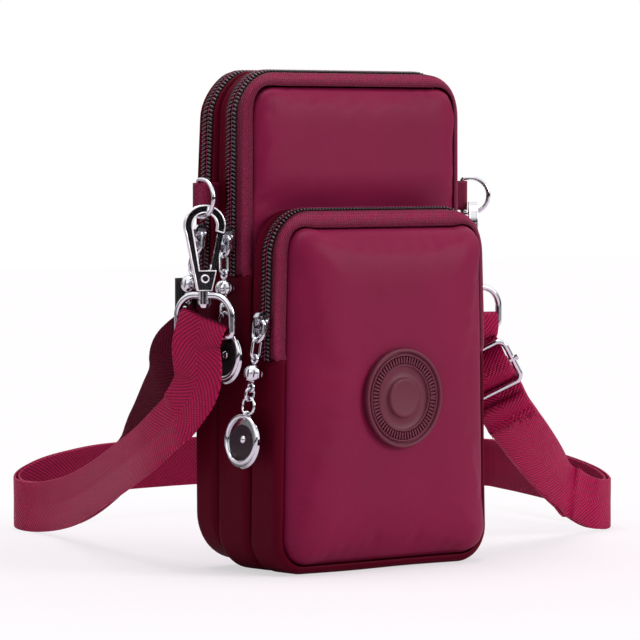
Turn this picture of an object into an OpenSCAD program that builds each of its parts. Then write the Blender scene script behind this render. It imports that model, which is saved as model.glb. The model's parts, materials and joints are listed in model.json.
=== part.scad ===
// Phone pouch with three zipped compartments, two clipped rings and a doubled shoulder strap.
// The origin is on the floor below the middle of the body, with the front facing -Y and +X to the right.

/* [Body] */
// Width of the two main compartments between their side seams
body_w = 99; // [88:1:120]
// Height of the two main compartments above the floor
body_h = 181; // [176:1:215]
// Depth of the rear compartment
rear_depth = 13; // [12:0.5:18]
// Depth of the middle compartment
middle_depth = 18; // [17:0.5:24]
// How far the gussets swell past the seams
swell = 2.2; // [1.6:0.1:3]
// Thickness of the padded fabric
fabric_t = 1.4; // [1:0.1:2]
// Thickness of the lining
lining_t = 0.4; // [0.3:0.1:0.6]
// Corner radius at the top of the main compartments
body_top_r = 14; // [10:1:20]
// Corner radius at the bottom of the middle compartment
middle_low_r = 13; // [10:1:20]
// Corner radius at the bottom of the rear compartment
rear_low_r = 16; // [10:1:22]
// Height of the rear compartment's bottom above the floor
rear_lift = 2.5; // [1:0.5:4]
// Height of the middle compartment's bottom above the floor
middle_lift = 0; // [0:0.5:3]

/* [Front pocket] */
// How far the pocket's side lies inside the pouch's side
pocket_inset = 1.75; // [0:0.25:6]
// Height of the front pocket
pocket_h = 131; // [125:1:150]
// Depth of the front pocket at its seams
pocket_depth = 16.5; // [16:0.5:24]
// How far the front panel swells past its seam
pocket_swell = 8.5; // [4:0.5:12]
// Corner radius at the top of the front pocket
pocket_top_r = 14; // [10:1:20]
// Corner radius at the bottom of the front pocket
pocket_low_r = 11; // [8:1:18]

/* [Badge] */
// Diameter of the rubber badge
badge_d = 36; // [24:1:44]
// Thickness of the badge's rim
badge_t = 2.8; // [2.4:0.1:4]
// Height of the badge's centre above the floor
badge_z = 63; // [50:1:90]
// Distance of the badge from the middle of the pocket
badge_x = 0; // [-8:1:8]

/* [Zips] */
// Width of the meshed coil
coil_w = 5.7; // [5:0.1:6.4]
// Height of the coil above its tape
coil_rise = 1; // [0.8:0.1:1.3]
// Thickness of the zip tape
tape_t = 0.8; // [0.5:0.1:1]
// Height of the rear zip's lower ends
rear_zip_z = 109; // [100:1:125]
// Height of the middle zip's lower ends
middle_zip_z = 108; // [100:1:125]
// Height of the pocket zip's lower ends
pocket_zip_z = 78; // [70:1:90]
// Width of the tape strip in front of the middle zip's coil
middle_front_strip = 5.9; // [5.8:0.1:8]
// Width of the tape strip in front of the pocket zip's coil
pocket_front_strip = 3.3; // [3:0.1:5]
// Height of each closed slider above its zip's lower end
slider_rest = 12.5; // [8:0.5:16]

/* [Sliders and pullers] */
// Length of a slider
slider_l = 8.6; // [8:0.1:11]
// Width of a slider
slider_w = 8; // [7:0.1:8.4]
// Thickness of a slider's plates
plate_t = 1; // [0.8:0.1:1.2]
// Length of the loop on the slider
bail_l = 8.6; // [8:0.1:12]
// Width of the loop on the slider
bail_w = 7.2; // [6.5:0.1:8.5]
// Wire of the loop on the slider
bail_wire = 1.3; // [1:0.1:1.6]
// Length of the long oval link
link_l = 8.6; // [8:0.1:10]
// Width of the oval links
link_w = 4.6; // [4.2:0.1:5.5]
// Length of the short link above the charm's ring
short_link_l = 5.7; // [5.4:0.1:7]
// Diameter of the charm's ring
charm_ring_d = 7.6; // [7:0.1:9]
// Wire of the links and eyes
link_wire = 1.1; // [0.9:0.1:1.3]
// Diameter of the ribbed bead
bead_d = 6.8; // [6:0.1:8]
// Height of the ribbed bead
bead_h = 6.1; // [5:0.1:7]
// Diameter of the disc charm
charm_d = 18.5; // [15:0.1:22]
// Thickness of the disc charm
charm_t = 2; // [1.6:0.1:2.6]

/* [Rings and hooks] */
// Width of the fabric tabs
tab_w = 11; // [9:0.5:13]
// Distance of a ring's bar from the side seam
ring_out = 14.3; // [12:0.1:16]
// Height of the rings' middle above the floor
ring_z = 135.6; // [128:1:150]
// Wire of the rings
ring_wire = 1.6; // [1.4:0.1:2]
// Overall height of a hook above its swivel
hook_h = 30.5; // [28:0.5:34]
// Overall width of a hook
hook_w = 14.5; // [13.5:0.5:17]
// Thickness of a hook
hook_t = 3; // [2.8:0.1:3.2]
// Width of the hook's rim
hook_band = 2.5; // [2.2:0.1:3]
// Wire of the strap eyes
eye_wire = 2.4; // [2:0.1:2.8]

/* [Strap] */
// Width of the webbing
strap_w = 20; // [18:0.5:22]
// Thickness of the webbing
strap_t = 1.3; // [1:0.1:1.6]
// Reach of the laid strap to the right of the left hook
strap_spread = 266; // [250:1:290]
// Reach of the laid strap behind the left hook
strap_reach = 208; // [190:1:230]
// Wire of the strap adjuster
glide_wire = 2.2; // [1.8:0.1:2.4]

/* [Arm band] */
// Height of the elastic
band_w = 14; // [12:1:24]
// Height of the elastic's lower edge above the floor
band_z = 92; // [70:1:120]
// Thickness of the elastic
band_t = 1.6; // [1.2:0.1:2]
// Gap for the arm between the elastic and the back
band_gap = 6; // [5:0.5:10]
// How far the elastic's fold stands past the side seam
band_out = 5.5; // [4:0.5:8]

/* [Hidden] */
$fn = 32;
// One overrun for every cut
over = 1;
// Running gap between metal pieces
gap = 0.3;
// Running gap between linked rings
link_gap = 0.15;

// Seam planes, from the back to the front
body_depth = rear_depth + middle_depth + pocket_depth;
pocket_w = body_w - 2 * pocket_inset;
back_y = body_depth / 2;
divider_y = back_y - rear_depth;
front_y = divider_y - middle_depth;
pocket_y = -body_depth / 2;

// Width over which a gusset rises from its seam to its full swell
rise_w = 1.4;
rise_steps = 3;

fabric_red = "#7b1f3d";
tape_red = "#8f3358";
metal = "#c9c9cf";
dark = "#1b1618";

// Height of a gusset's outside above the seam line, at a distance from the nearest seam
function swell_at(d) = swell * (1 - pow(1 - min(max(d, 0) / rise_w, 1), 2));

// Depth positions at which a gusset's outline bends, between two planes of one compartment
function bends(a, b, from, to) =
    let (all = concat(
        [for (i = [1 : rise_steps]) a + rise_w * i / rise_steps],
        [for (i = [rise_steps : -1 : 1]) b - rise_w * i / rise_steps]))
    concat([from], [for (z = all) if (z > from + gap / 2 && z < to - gap / 2) z], [to]);

// Wall section between two planes, as points of outward distance and depth
function wall(a, b, from, to, outside, t) =
    let (zs = bends(a, b, from, to))
    concat(
        [for (z = zs) [swell_at(min(z - a, b - z)) + outside, z]],
        [for (i = [len(zs) - 1 : -1 : 0]) [swell_at(min(zs[i] - a, b - zs[i])) + outside - t, zs[i]]]);

// Straight run of a section that faces +X and goes down from its start
module run(length, section) {
    rotate([90, 0, 0]) linear_extrude(length) polygon(section);
}

// Lower part of a loop: two sides, two corners and the bottom
module lower_loop(half, low, split, r, section) {
    for (side = [0, 1]) mirror([side, 0, 0]) {
        translate([half, split, 0]) run(split - low - r, section);
        translate([half - r, low + r, 0]) rotate([0, 0, -90])
            rotate_extrude(angle = 90, $fn = 48) translate([r, 0]) polygon(section);
        translate([half - r, low, 0]) rotate([0, 0, -90]) run(half - r, section);
    }
}

// Upper part of a loop: two sides, two corners and the top
module upper_loop(half, split, high, r, section) {
    for (side = [0, 1]) mirror([side, 0, 0]) {
        translate([half, high - r, 0]) run(high - r - split, section);
        translate([half - r, high - r, 0])
            rotate_extrude(angle = 90, $fn = 48) translate([r, 0]) polygon(section);
        translate([0, high, 0]) rotate([0, 0, 90]) run(half - r, section);
    }
}

// Turns a flat drawing of width, height and frontness upright
module stand() {
    rotate([90, 0, 0]) children();
}

// Outline with its own radius at the bottom and at the top
module round_outline(half, low, high, r_low, r_high) {
    square_half = half - max(r_low, r_high);
    for (side = [-1, 1]) {
        translate([side * (half - r_low), low + r_low]) circle(r_low);
        translate([side * (half - r_high), high - r_high]) circle(r_high);
    }
    translate([-half, low + r_low]) square([2 * half, high - low - r_low - r_high]);
    translate([r_low - half, low]) square([2 * (half - r_low), high - low]);
    translate([r_high - half, (low + high) / 2]) square([2 * (half - r_high), (high - low) / 2]);
}

module plate(half, low, high, r_low, r_high, from, to) {
    stand() translate([0, 0, from]) linear_extrude(to - from)
        round_outline(half, low, high, r_low, r_high);
}

// Each compartment as [half width, low seam, high seam, low radius, high radius, rear plane, front plane,
// zip end, coil middle], with frontness measured from the middle of the body
rear_box = [body_w / 2, rear_lift + swell, body_h - swell, rear_low_r, body_top_r,
    -back_y + fabric_t, -divider_y - fabric_t / 2, rear_zip_z, -(back_y + divider_y) / 2 + fabric_t / 4];
middle_box = [body_w / 2, middle_lift + swell, body_h - swell, middle_low_r, body_top_r,
    -divider_y + fabric_t / 2, -front_y - fabric_t / 2, middle_zip_z,
    -front_y - middle_front_strip - coil_w / 2];
pocket_box = [pocket_w / 2, swell, pocket_h - swell, pocket_low_r, pocket_top_r,
    -front_y + fabric_t / 2, -pocket_y - fabric_t, pocket_zip_z,
    -pocket_y - fabric_t - pocket_front_strip - coil_w / 2];

module gusset(box) {
    color(fabric_red) stand()
        lower_loop(box[0], box[1], box[7], box[3], wall(box[5], box[6], box[5], box[6], 0, fabric_t));
}

module zip_tapes(box) {
    color(tape_red) stand() {
        upper_loop(box[0], box[7], box[2], box[4],
            wall(box[5], box[6], box[5], box[8] - coil_w / 2, 0, tape_t));
        upper_loop(box[0], box[7], box[2], box[4],
            wall(box[5], box[6], box[8] + coil_w / 2, box[6], 0, tape_t));
    }
}

// Slot between the two rows of coil, in which the slider's neck runs
coil_slot = 1.2;

module zip_coil(box) {
    row = (coil_w - coil_slot) / 2;
    color(dark) stand() for (side = [-1, 1])
        upper_loop(box[0], box[7], box[2], box[4],
            [for (p = [[-tape_t, 0], [coil_rise, 0], [coil_rise, row], [-tape_t, row]])
                [swell + p[0], box[8] + (side < 0 ? -coil_w / 2 : coil_slot / 2) + p[1]]]);
}

// Loose inner bag whose side walls end at the zip, with a full sheet against each panel
module lining(box) {
    edge = fabric_t + gap;
    color("#3a2a30") union() {
        stand() lower_loop(box[0] - edge, box[1] + edge, box[7], box[3] - edge,
            [[-lining_t, box[5]], [0, box[5]], [0, box[6]], [-lining_t, box[6]]]);
        for (from = [box[5], box[6] - lining_t])
            plate(box[0] - edge, box[1] + edge, box[2] - edge, box[3] - edge, box[4] - edge,
                from, from + lining_t);
    }
}

module back_panel() {
    color(fabric_red)
        plate(body_w / 2, rear_lift + swell, body_h - swell, rear_low_r, body_top_r, -back_y, -back_y + fabric_t);
}

module compartment_divider() {
    color(fabric_red) plate(body_w / 2, rear_lift + swell, body_h - swell, rear_low_r, body_top_r,
        -divider_y - fabric_t / 2, -divider_y + fabric_t / 2);
}

module main_front_panel() {
    color(fabric_red) plate(body_w / 2, middle_lift + swell, body_h - swell, middle_low_r, body_top_r,
        -front_y - fabric_t / 2, -front_y + fabric_t / 2);
}

// The pocket's front panel swells steeply at its seam and is flat behind the badge
panel_shares = [1, 0.94, 0.85, 0.7, 0.45];
panel_flat_share = 0.45;
panel_corner_steps = 5;

function puff(share) =
    let (u = (share - panel_flat_share) / (1 - panel_flat_share)) pocket_swell * pow(1 - pow(u, 2.2), 0.6);

function corner_points(cx, cz, r, start) =
    [for (i = [0 : panel_corner_steps]) let (a = start + 90 * i / panel_corner_steps)
        [cx + r * cos(a), cz + r * sin(a)]];

function panel_outline(half, low, high, r_low, r_high) = concat(
    corner_points(half - r_low, low + r_low, r_low, -90),
    corner_points(half - r_high, high - r_high, r_high, 0),
    corner_points(r_high - half, high - r_high, r_high, 90),
    corner_points(r_low - half, low + r_low, r_low, 180));

module pocket_front_panel() {
    edge = panel_outline(pocket_w / 2, swell, pocket_h - swell, pocket_low_r, pocket_top_r);
    n = len(edge);
    rings = len(panel_shares);
    layer = n * rings;
    middle = pocket_h / 2;
    skin = [for (inset = [0, fabric_t]) for (share = panel_shares) for (p = edge)
        [p[0] * share, pocket_y + inset - puff(share), middle + (p[1] - middle) * share]];
    tips = [for (inset = [0, fabric_t]) [0, pocket_y + inset - pocket_swell, middle]];
    function at(side, k, i) = side * layer + k * n + i % n;
    outside = [for (k = [0 : rings - 2]) for (i = [0 : n - 1])
        each [[at(0, k, i), at(0, k + 1, i + 1), at(0, k, i + 1)],
            [at(0, k, i), at(0, k + 1, i), at(0, k + 1, i + 1)]]];
    inside = [for (k = [0 : rings - 2]) for (i = [0 : n - 1])
        each [[at(1, k, i), at(1, k, i + 1), at(1, k + 1, i + 1)],
            [at(1, k, i), at(1, k + 1, i + 1), at(1, k + 1, i)]]];
    caps = [for (i = [0 : n - 1])
        each [[at(0, rings - 1, i + 1), at(0, rings - 1, i), 2 * layer],
            [at(1, rings - 1, i), at(1, rings - 1, i + 1), 2 * layer + 1]]];
    rim = [for (i = [0 : n - 1])
        each [[at(0, 0, i), at(0, 0, i + 1), at(1, 0, i + 1)],
            [at(0, 0, i), at(1, 0, i + 1), at(1, 0, i)]]];
    color(fabric_red) polyhedron(concat(skin, tips), concat(outside, inside, caps, rim));
}

// Steps of the badge's face, as shares of its radius
badge_rim_share = 0.9;
badge_band_share = 0.84;
badge_boss_share = 0.36;
// Depth of the badge's recessed field
badge_recess = 1;

module badge() {
    r = badge_d / 2;
    seat = pocket_y - pocket_swell;
    color("#7d3a52") translate([badge_x, seat, badge_z]) rotate([90, 0, 0])
        rotate_extrude($fn = 96) polygon([
            [0, 0], [r, 0], [r, badge_t],
            [r * badge_rim_share, badge_t], [r * badge_rim_share, badge_t - badge_recess],
            [r * badge_band_share, badge_t - badge_recess], [r * badge_band_share, badge_t - badge_recess / 2],
            [r * badge_boss_share, badge_t - badge_recess / 2], [r * badge_boss_share, badge_t],
            [0, badge_t]]);
}

// Place of the rings' bars beside the body
ring_x = body_w / 2 + ring_out;
ring_y = divider_y - tab_w / 2;
tab_t = 1;
tab_loop_r = ring_wire / 2 + gap / 2 + tab_t;

// A folded tab from the seam between the compartments round the ring's bar
module tab() {
    color(tape_red) translate([0, 0, ring_z - tab_w / 2]) linear_extrude(tab_w) difference() {
        union() {
            translate([ring_x, ring_y]) circle(tab_loop_r);
            polygon([
                [body_w / 2, divider_y + fabric_t / 2 - gap / 4], [body_w / 2, divider_y - fabric_t / 2 + gap / 4],
                [body_w / 2 + swell + gap, divider_y - fabric_t / 2 + gap / 4],
                [ring_x - tab_loop_r / 2, ring_y - tab_loop_r * 0.87],
                [ring_x + tab_loop_r / 2, ring_y + tab_loop_r * 0.87],
                [body_w / 2 + swell + gap, divider_y + fabric_t / 2 - gap / 4]]);
        }
        translate([ring_x, ring_y]) circle(ring_wire / 2 + gap / 2);
    }
}

module left_tab() {
    mirror([1, 0, 0]) tab();
}

module right_tab() {
    tab();
}

// Round wire along an arc of a flat loop, in the plane of width and height
module arc_wire(r, wire, from, sweep) {
    rotate([90, 0, 0]) rotate([0, 0, from]) rotate_extrude(angle = sweep, $fn = 48)
        translate([r, 0]) circle(wire / 2);
}

module rod(length, wire) {
    cylinder(h = length, d = wire);
}

// Straight legs between a ring's bar and its bow
ring_leg = 2.2;
ring_r = (tab_w + 2 * gap + ring_wire) / 2;
ring_bend = ring_wire / 2 + gap;

// D ring with its bar upright on the origin and its bow towards +X
module d_ring() {
    color(metal) union() {
        translate([0, 0, ring_bend - ring_r]) rod(2 * (ring_r - ring_bend), ring_wire);
        for (side = [0, 1]) mirror([0, 0, side]) {
            translate([ring_bend, 0, ring_r - ring_bend]) arc_wire(ring_bend, ring_wire, 90, 90);
            translate([ring_bend, 0, ring_r]) rotate([0, 90, 0]) rod(ring_leg, ring_wire);
        }
        translate([ring_bend + ring_leg, 0, 0]) arc_wire(ring_r, ring_wire, -90, 180);
    }
}

// Turn of each ring about its bar, as seen from above, with both bows swung to the front
left_ring_turn = 265;
right_ring_turn = -40;

module left_ring() {
    translate([-ring_x, ring_y, ring_z]) rotate([0, 0, left_ring_turn]) d_ring();
}

module right_ring() {
    translate([ring_x, ring_y, ring_z]) rotate([0, 0, right_ring_turn]) d_ring();
}

// Where a hook hangs on its ring, measured from the ring's bar
hook_seat = ring_bend + ring_leg + ring_wire / 2;
// Height of the hooks' base. Each hook rests where its ring begins to rise
hook_base_z = ring_z - ring_r + ring_wire / 2 + 2 * gap + link_gap + hook_band - hook_h;
left_hook_x = -ring_x + hook_seat * cos(left_ring_turn);
left_hook_y = ring_y + hook_seat * sin(left_ring_turn);
right_hook_x = ring_x + hook_seat * cos(right_ring_turn);
right_hook_y = ring_y + hook_seat * sin(right_ring_turn);
left_hook_turn = -30;
right_hook_turn = 50;

module at_left_hook() {
    translate([left_hook_x, left_hook_y, hook_base_z]) rotate([0, 0, left_hook_turn]) children();
}

module at_right_hook() {
    translate([right_hook_x, right_hook_y, hook_base_z]) rotate([0, 0, right_hook_turn]) children();
}

// Base of the hook, which narrows to the swivel
base_h = 7;
base_top_w = 8;
base_low_w = 5;
bow_r = hook_w / 2;
bow_z = hook_h - bow_r;
// Height of the opening's lower edge and its width there
throat_z = base_h;
throat_w = 4.2;
rivet_z = 4.2;
rivet_d = 1.6;
lug_t = 0.9;
slot_t = 1.5;
// Distance from the gate's rivet to its tip, just below the widest part of the bow
gate_reach = bow_z - rivet_z - 1.6;

// Straight sides of the hook run as tangents from its base to its bow
module hook_outline(r, low_w, low_z) {
    translate([0, bow_z]) circle(r, $fn = 64);
    polygon([[-low_w / 2, low_z], [low_w / 2, low_z], [r, bow_z], [-r, bow_z]]);
}

// Half the width of the hook's outside at a height in its straight stretch
function side_at(z) = base_top_w / 2 + (bow_r - base_top_w / 2) * (z - base_h) / (bow_z - base_h);

module hook_body() {
    slot_low = rivet_z - rivet_d - gap;
    color(metal) difference() {
        rotate([90, 0, 0]) linear_extrude(hook_t, center = true) difference() {
            union() {
                hook_outline(bow_r, base_top_w, base_h);
                polygon([[-base_low_w / 2, 0], [base_low_w / 2, 0],
                    [base_top_w / 2, base_h], [-base_top_w / 2, base_h]]);
            }
            hook_outline(bow_r - hook_band, throat_w, throat_z);
            intersection() {
                translate([0, throat_z]) square([hook_w, hook_h]);
                translate([0, rivet_z]) circle(gate_reach + gap, $fn = 96);
            }
        }
        translate([-rivet_d - gap, -slot_t / 2, slot_low]) cube([hook_w, slot_t, throat_z - slot_low + over]);
        translate([0, 0, rivet_z]) rotate([90, 0, 0])
            cylinder(h = hook_t + over, d = rivet_d, center = true);
    }
}

// Swivel between the hook and the strap's eye
pin_d = 2.2;
collar_d = 4.6;
collar_h = 3;
head_d = 4.8;
head_h = 2.6;

module swivel_pin() {
    color(metal) union() {
        translate([0, 0, -collar_h - 2 * gap]) cylinder(h = collar_h + 2 * gap, d = pin_d);
        translate([0, 0, -collar_h - 2 * gap - head_h]) cylinder(h = head_h / 2, d1 = head_d * 0.7, d2 = head_d);
        translate([0, 0, -collar_h - 2 * gap - head_h / 2]) cylinder(h = head_h / 2, d = head_d);
    }
}

gate_w = 1.9;

module hook_gate() {
    foot = base_h + gap;
    color(metal) difference() {
        rotate([90, 0, 0]) union() {
            linear_extrude(lug_t, center = true) union() {
                translate([0, rivet_z]) circle(rivet_d);
                polygon([[0, rivet_z - rivet_d], [rivet_d, rivet_z - rivet_d / 2],
                    [side_at(foot), foot], [side_at(foot), foot + gate_w], [side_at(foot) - gate_w, foot + gate_w],
                    [side_at(foot) - gate_w, foot], [-rivet_d / 2, rivet_z + rivet_d]]);
            }
            linear_extrude(hook_t - 2 * gap, center = true) intersection() {
                polygon([[side_at(foot) - gate_w, foot], [side_at(foot), foot],
                    [side_at(bow_z), bow_z], [side_at(bow_z) - gate_w, bow_z]]);
                translate([0, rivet_z]) circle(gate_reach, $fn = 96);
            }
        }
        translate([0, 0, rivet_z]) rotate([90, 0, 0])
            cylinder(h = hook_t + over, d = rivet_d + gap, center = true);
    }
}

module gate_rivet() {
    head = rivet_d * 1.6;
    color(metal) translate([0, 0, rivet_z]) rotate([90, 0, 0]) union() {
        cylinder(h = hook_t, d = rivet_d, center = true);
        for (side = [0, 1]) mirror([0, 0, side])
            translate([0, 0, hook_t / 2]) cylinder(h = rivet_d / 3, d = head);
    }
}

// Flat coil of the gate's spring, beside the gate's lug
module gate_spring() {
    spring_t = (slot_t - lug_t) / 2 - gap / 3;
    color(metal) translate([0, slot_t / 2, rivet_z]) rotate([90, 0, 0]) difference() {
        cylinder(h = spring_t, d = rivet_d * 1.7);
        translate([0, 0, -over]) cylinder(h = spring_t + 2 * over, d = rivet_d);
    }
}

module left_hook() {
    at_left_hook() hook_body();
}

module left_swivel_pin() {
    at_left_hook() swivel_pin();
}

module left_hook_gate() {
    at_left_hook() hook_gate();
}

module left_gate_rivet() {
    at_left_hook() gate_rivet();
}

module left_gate_spring() {
    at_left_hook() gate_spring();
}

module right_hook() {
    at_right_hook() hook_body();
}

module right_swivel_pin() {
    at_right_hook() swivel_pin();
}

module right_hook_gate() {
    at_right_hook() hook_gate();
}

module right_gate_rivet() {
    at_right_hook() gate_rivet();
}

module right_gate_spring() {
    at_right_hook() gate_spring();
}

// Eye that the strap folds over, below a collar on the swivel pin
eye_half = strap_w / 2 + gap + eye_wire / 2;
eye_bend = eye_wire / 2 + gap;
eye_shoulder_r = 7.5;
eye_leg = 5.5;
// Height of the eye's top and of its bar, from the hook's base
eye_top_z = -gap - collar_h / 2;
eye_bar_z = eye_top_z - eye_shoulder_r - eye_leg - eye_bend;
left_eye_turn = -70;
right_eye_turn = -10;

module strap_eye() {
    color(metal) difference() {
        union() {
            translate([0, 0, -gap - collar_h]) cylinder(h = collar_h, d = collar_d);
            translate([eye_shoulder_r - eye_half, 0, eye_top_z]) rotate([0, 90, 0])
                rod(2 * (eye_half - eye_shoulder_r), eye_wire);
            for (side = [0, 1]) mirror([side, 0, 0]) {
                translate([eye_half - eye_shoulder_r, 0, eye_top_z - eye_shoulder_r])
                    arc_wire(eye_shoulder_r, eye_wire, 0, 90);
                translate([eye_half, 0, eye_bar_z + eye_bend]) rod(eye_leg, eye_wire);
                translate([eye_half - eye_bend, 0, eye_bar_z + eye_bend])
                    arc_wire(eye_bend, eye_wire, -90, 90);
            }
            translate([eye_bend - eye_half, 0, eye_bar_z]) rotate([0, 90, 0])
                rod(2 * (eye_half - eye_bend), eye_wire);
        }
        translate([0, 0, -gap - collar_h - over]) cylinder(h = collar_h + 2 * over, d = pin_d + 2 * gap);
    }
}

module left_strap_eye() {
    translate([left_hook_x, left_hook_y, hook_base_z]) rotate([0, 0, left_eye_turn]) strap_eye();
}

module right_strap_eye() {
    translate([right_hook_x, right_hook_y, hook_base_z]) rotate([0, 0, right_eye_turn]) strap_eye();
}

// Elastic sewn to the back on the right, with a folded end standing out on the left
module arm_band() {
    fold_r = (band_gap + band_t) / 2;
    fold_x = -body_w / 2 - band_out + fold_r + band_t / 2;
    fold_y = back_y + band_t / 2 + fold_r;
    slope = 2 * (band_gap + band_t);
    far = body_w * 0.33;
    color(dark) translate([0, 0, band_z]) linear_extrude(band_w) union() {
        difference() {
            translate([fold_x, fold_y]) circle(fold_r + band_t / 2);
            translate([fold_x, fold_y]) circle(fold_r - band_t / 2);
            translate([fold_x, back_y - over]) square([band_gap + band_t, band_gap + 2 * band_t + 2 * over]);
        }
        translate([fold_x, back_y]) square([body_w * 0.12, band_t]);
        polygon([[fold_x, back_y + band_gap + band_t], [far, back_y + band_gap + band_t],
            [far + slope, back_y], [far + slope + band_gap, back_y], [far + slope + band_gap, back_y + band_t],
            [far + slope + band_t / 2, back_y + band_t], [far + band_t / 2, back_y + band_gap + 2 * band_t],
            [fold_x, back_y + band_gap + 2 * band_t]]);
    }
}

// Strap geometry. Frames and stations are worked out once and shared by the adjuster
up = [0, 0, 1];
// Distance between the middles of two layers of webbing lying together
layer_gap = strap_t + 2 * gap;
// Radius of the webbing's middle round an eye's bar
fold_r = (eye_wire + strap_t) / 2 + gap;

function unit(v) = v / norm(v);
function across(h, t) = unit(h - (h * t) * t);
function spline(a, b, c, d, t) =
    (2 * b + (c - a) * t + (2 * a - 5 * b + 4 * c - d) * t * t + (3 * b - a - 3 * c + d) * t * t * t) / 2;
function smooth(list, steps) = [for (i = [1 : len(list) - 3]) for (k = [0 : steps - 1])
    spline(list[i - 1], list[i], list[i + 1], list[i + 2], k / steps)];
function along(list, i) = unit(list[min(i + 1, len(list) - 1)] - list[max(i - 1, 0)]);

// Left fold: the loose loop of webbing tips up away from the front
left_tip = 20;
left_bar = [-cos(left_eye_turn), -sin(left_eye_turn), 0];
left_side = cross(up, left_bar);
left_w = cos(left_tip) * left_bar + sin(left_tip) * up;
left_up = cross(left_w, left_side);
left_fold = [left_hook_x, left_hook_y, hook_base_z + eye_bar_z + strap_w / 2 * sin(left_tip) + 3 * gap];

// Right fold
right_bar = [cos(right_eye_turn), sin(right_eye_turn), 0];
right_side = cross(right_bar, up);
right_fold = [right_hook_x, right_hook_y, hook_base_z + eye_bar_z + strap_t + eye_wire / 2];

// Turn of the strap adjuster, and its place in shares of the webbing's width from the right fold
glide_turn = [17, -26.5, -45.5];
glide_shares = [0.24, -0.095, -1.02];
glide_half_w = strap_w / 2 + gap + glide_wire / 2;
glide_half_l = 8.8;
glide_r = 3;
glide_x = [cos(glide_turn[2]) * cos(glide_turn[1]), sin(glide_turn[2]) * cos(glide_turn[1]), -sin(glide_turn[1])];
glide_y = [
    cos(glide_turn[2]) * sin(glide_turn[1]) * sin(glide_turn[0]) - sin(glide_turn[2]) * cos(glide_turn[0]),
    sin(glide_turn[2]) * sin(glide_turn[1]) * sin(glide_turn[0]) + cos(glide_turn[2]) * cos(glide_turn[0]),
    cos(glide_turn[1]) * sin(glide_turn[0])];
glide_z = cross(glide_x, glide_y);
glide_at = right_fold + strap_w * glide_shares;

function in_glide(s, n) = glide_at - s * glide_z - n * glide_y;

// Laid strap from the left hook round the back, as shares of its spread, reach and fall to the floor
laid_z = strap_w / 2;
fall = left_fold[2] - laid_z;
function laid(p) = [left_hook_x + p[0] * strap_spread, left_hook_y + p[1] * strap_reach, laid_z + p[2] * fall, p[3]];

// Outer layer, with the last share telling how far the webbing has turned on edge
outer_shares = [
    [-0.008, -0.008, 1, 0], [-0.011, 0.006, 0.91, 0.1], [-0.011, 0.002, 0.745, 0.4], [-0.015, 0.037, 0.615, 0.9],
    [-0.016, 0.071, 0.545, 1], [-0.003, 0.171, 0.41, 1], [0.043, 0.329, 0.28, 1],
    [0.095, 0.493, 0.162, 1], [0.146, 0.658, 0.065, 1], [0.18, 0.802, 0.008, 1],
    [0.192, 0.893, 0.004, 1], [0.219, 0.937, 0.03, 1], [0.268, 0.949, 0.087, 1],
    [0.328, 0.959, 0.12, 1], [0.409, 0.984, 0.137, 1], [0.527, 1, 0.14, 1],
    [0.651, 0.995, 0.138, 1], [0.8, 0.922, 0.125, 1], [0.933, 0.812, 0.117, 1],
    [1, 0.697, 0.114, 1], [0.984, 0.605, 0.115, 1], [0.939, 0.434, 0.108, 1],
    [0.918, 0.331, 0.092, 1], [0.909, 0.235, 0.048, 1], [0.886, 0.168, 0.01, 1],
    [0.848, 0.143, 0.012, 1], [0.808, 0.135, 0.047, 1], [0.722, 0.103, 0.178, 1],
    [0.649, 0.068, 0.322, 1]];

// Inner layer beside the left hook, where it hangs freely behind the outer one
inner_shares = [
    [0.006, 0.014, 1, 0], [-0.004, 0.045, 0.92, 0.3], [-0.008, 0.085, 0.85, 0.8], [-0.006, 0.119, 0.74, 1],
    [0.004, 0.156, 0.645, 1], [0.019, 0.215, 0.506, 1], [0.03, 0.26, 0.407, 1], [0.05, 0.323, 0.305, 1]];
inner_joins = 6;
steps = 3;

outer_run = concat(
    [for (p = smooth([for (s = outer_shares) laid(s)], steps)) p]);
outer_points = [for (p = outer_run) [p[0], p[1], p[2]]];
outer_hints = [for (p = outer_run) (1 - p[3]) * left_w + p[3] * up];
joined = [for (i = [inner_joins * steps : len(outer_run) - 1])
    let (t = along(outer_points, i)) outer_points[i] + layer_gap * cross(t, across(outer_hints[i], t))];
inner_list = [for (s = inner_shares) laid(s)];
inner_tail = [for (i = [0 : 2]) let (p = joined[i * 3]) [p[0], p[1], p[2], 1]];
inner_run = smooth(concat(inner_list, inner_tail), steps);

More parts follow.
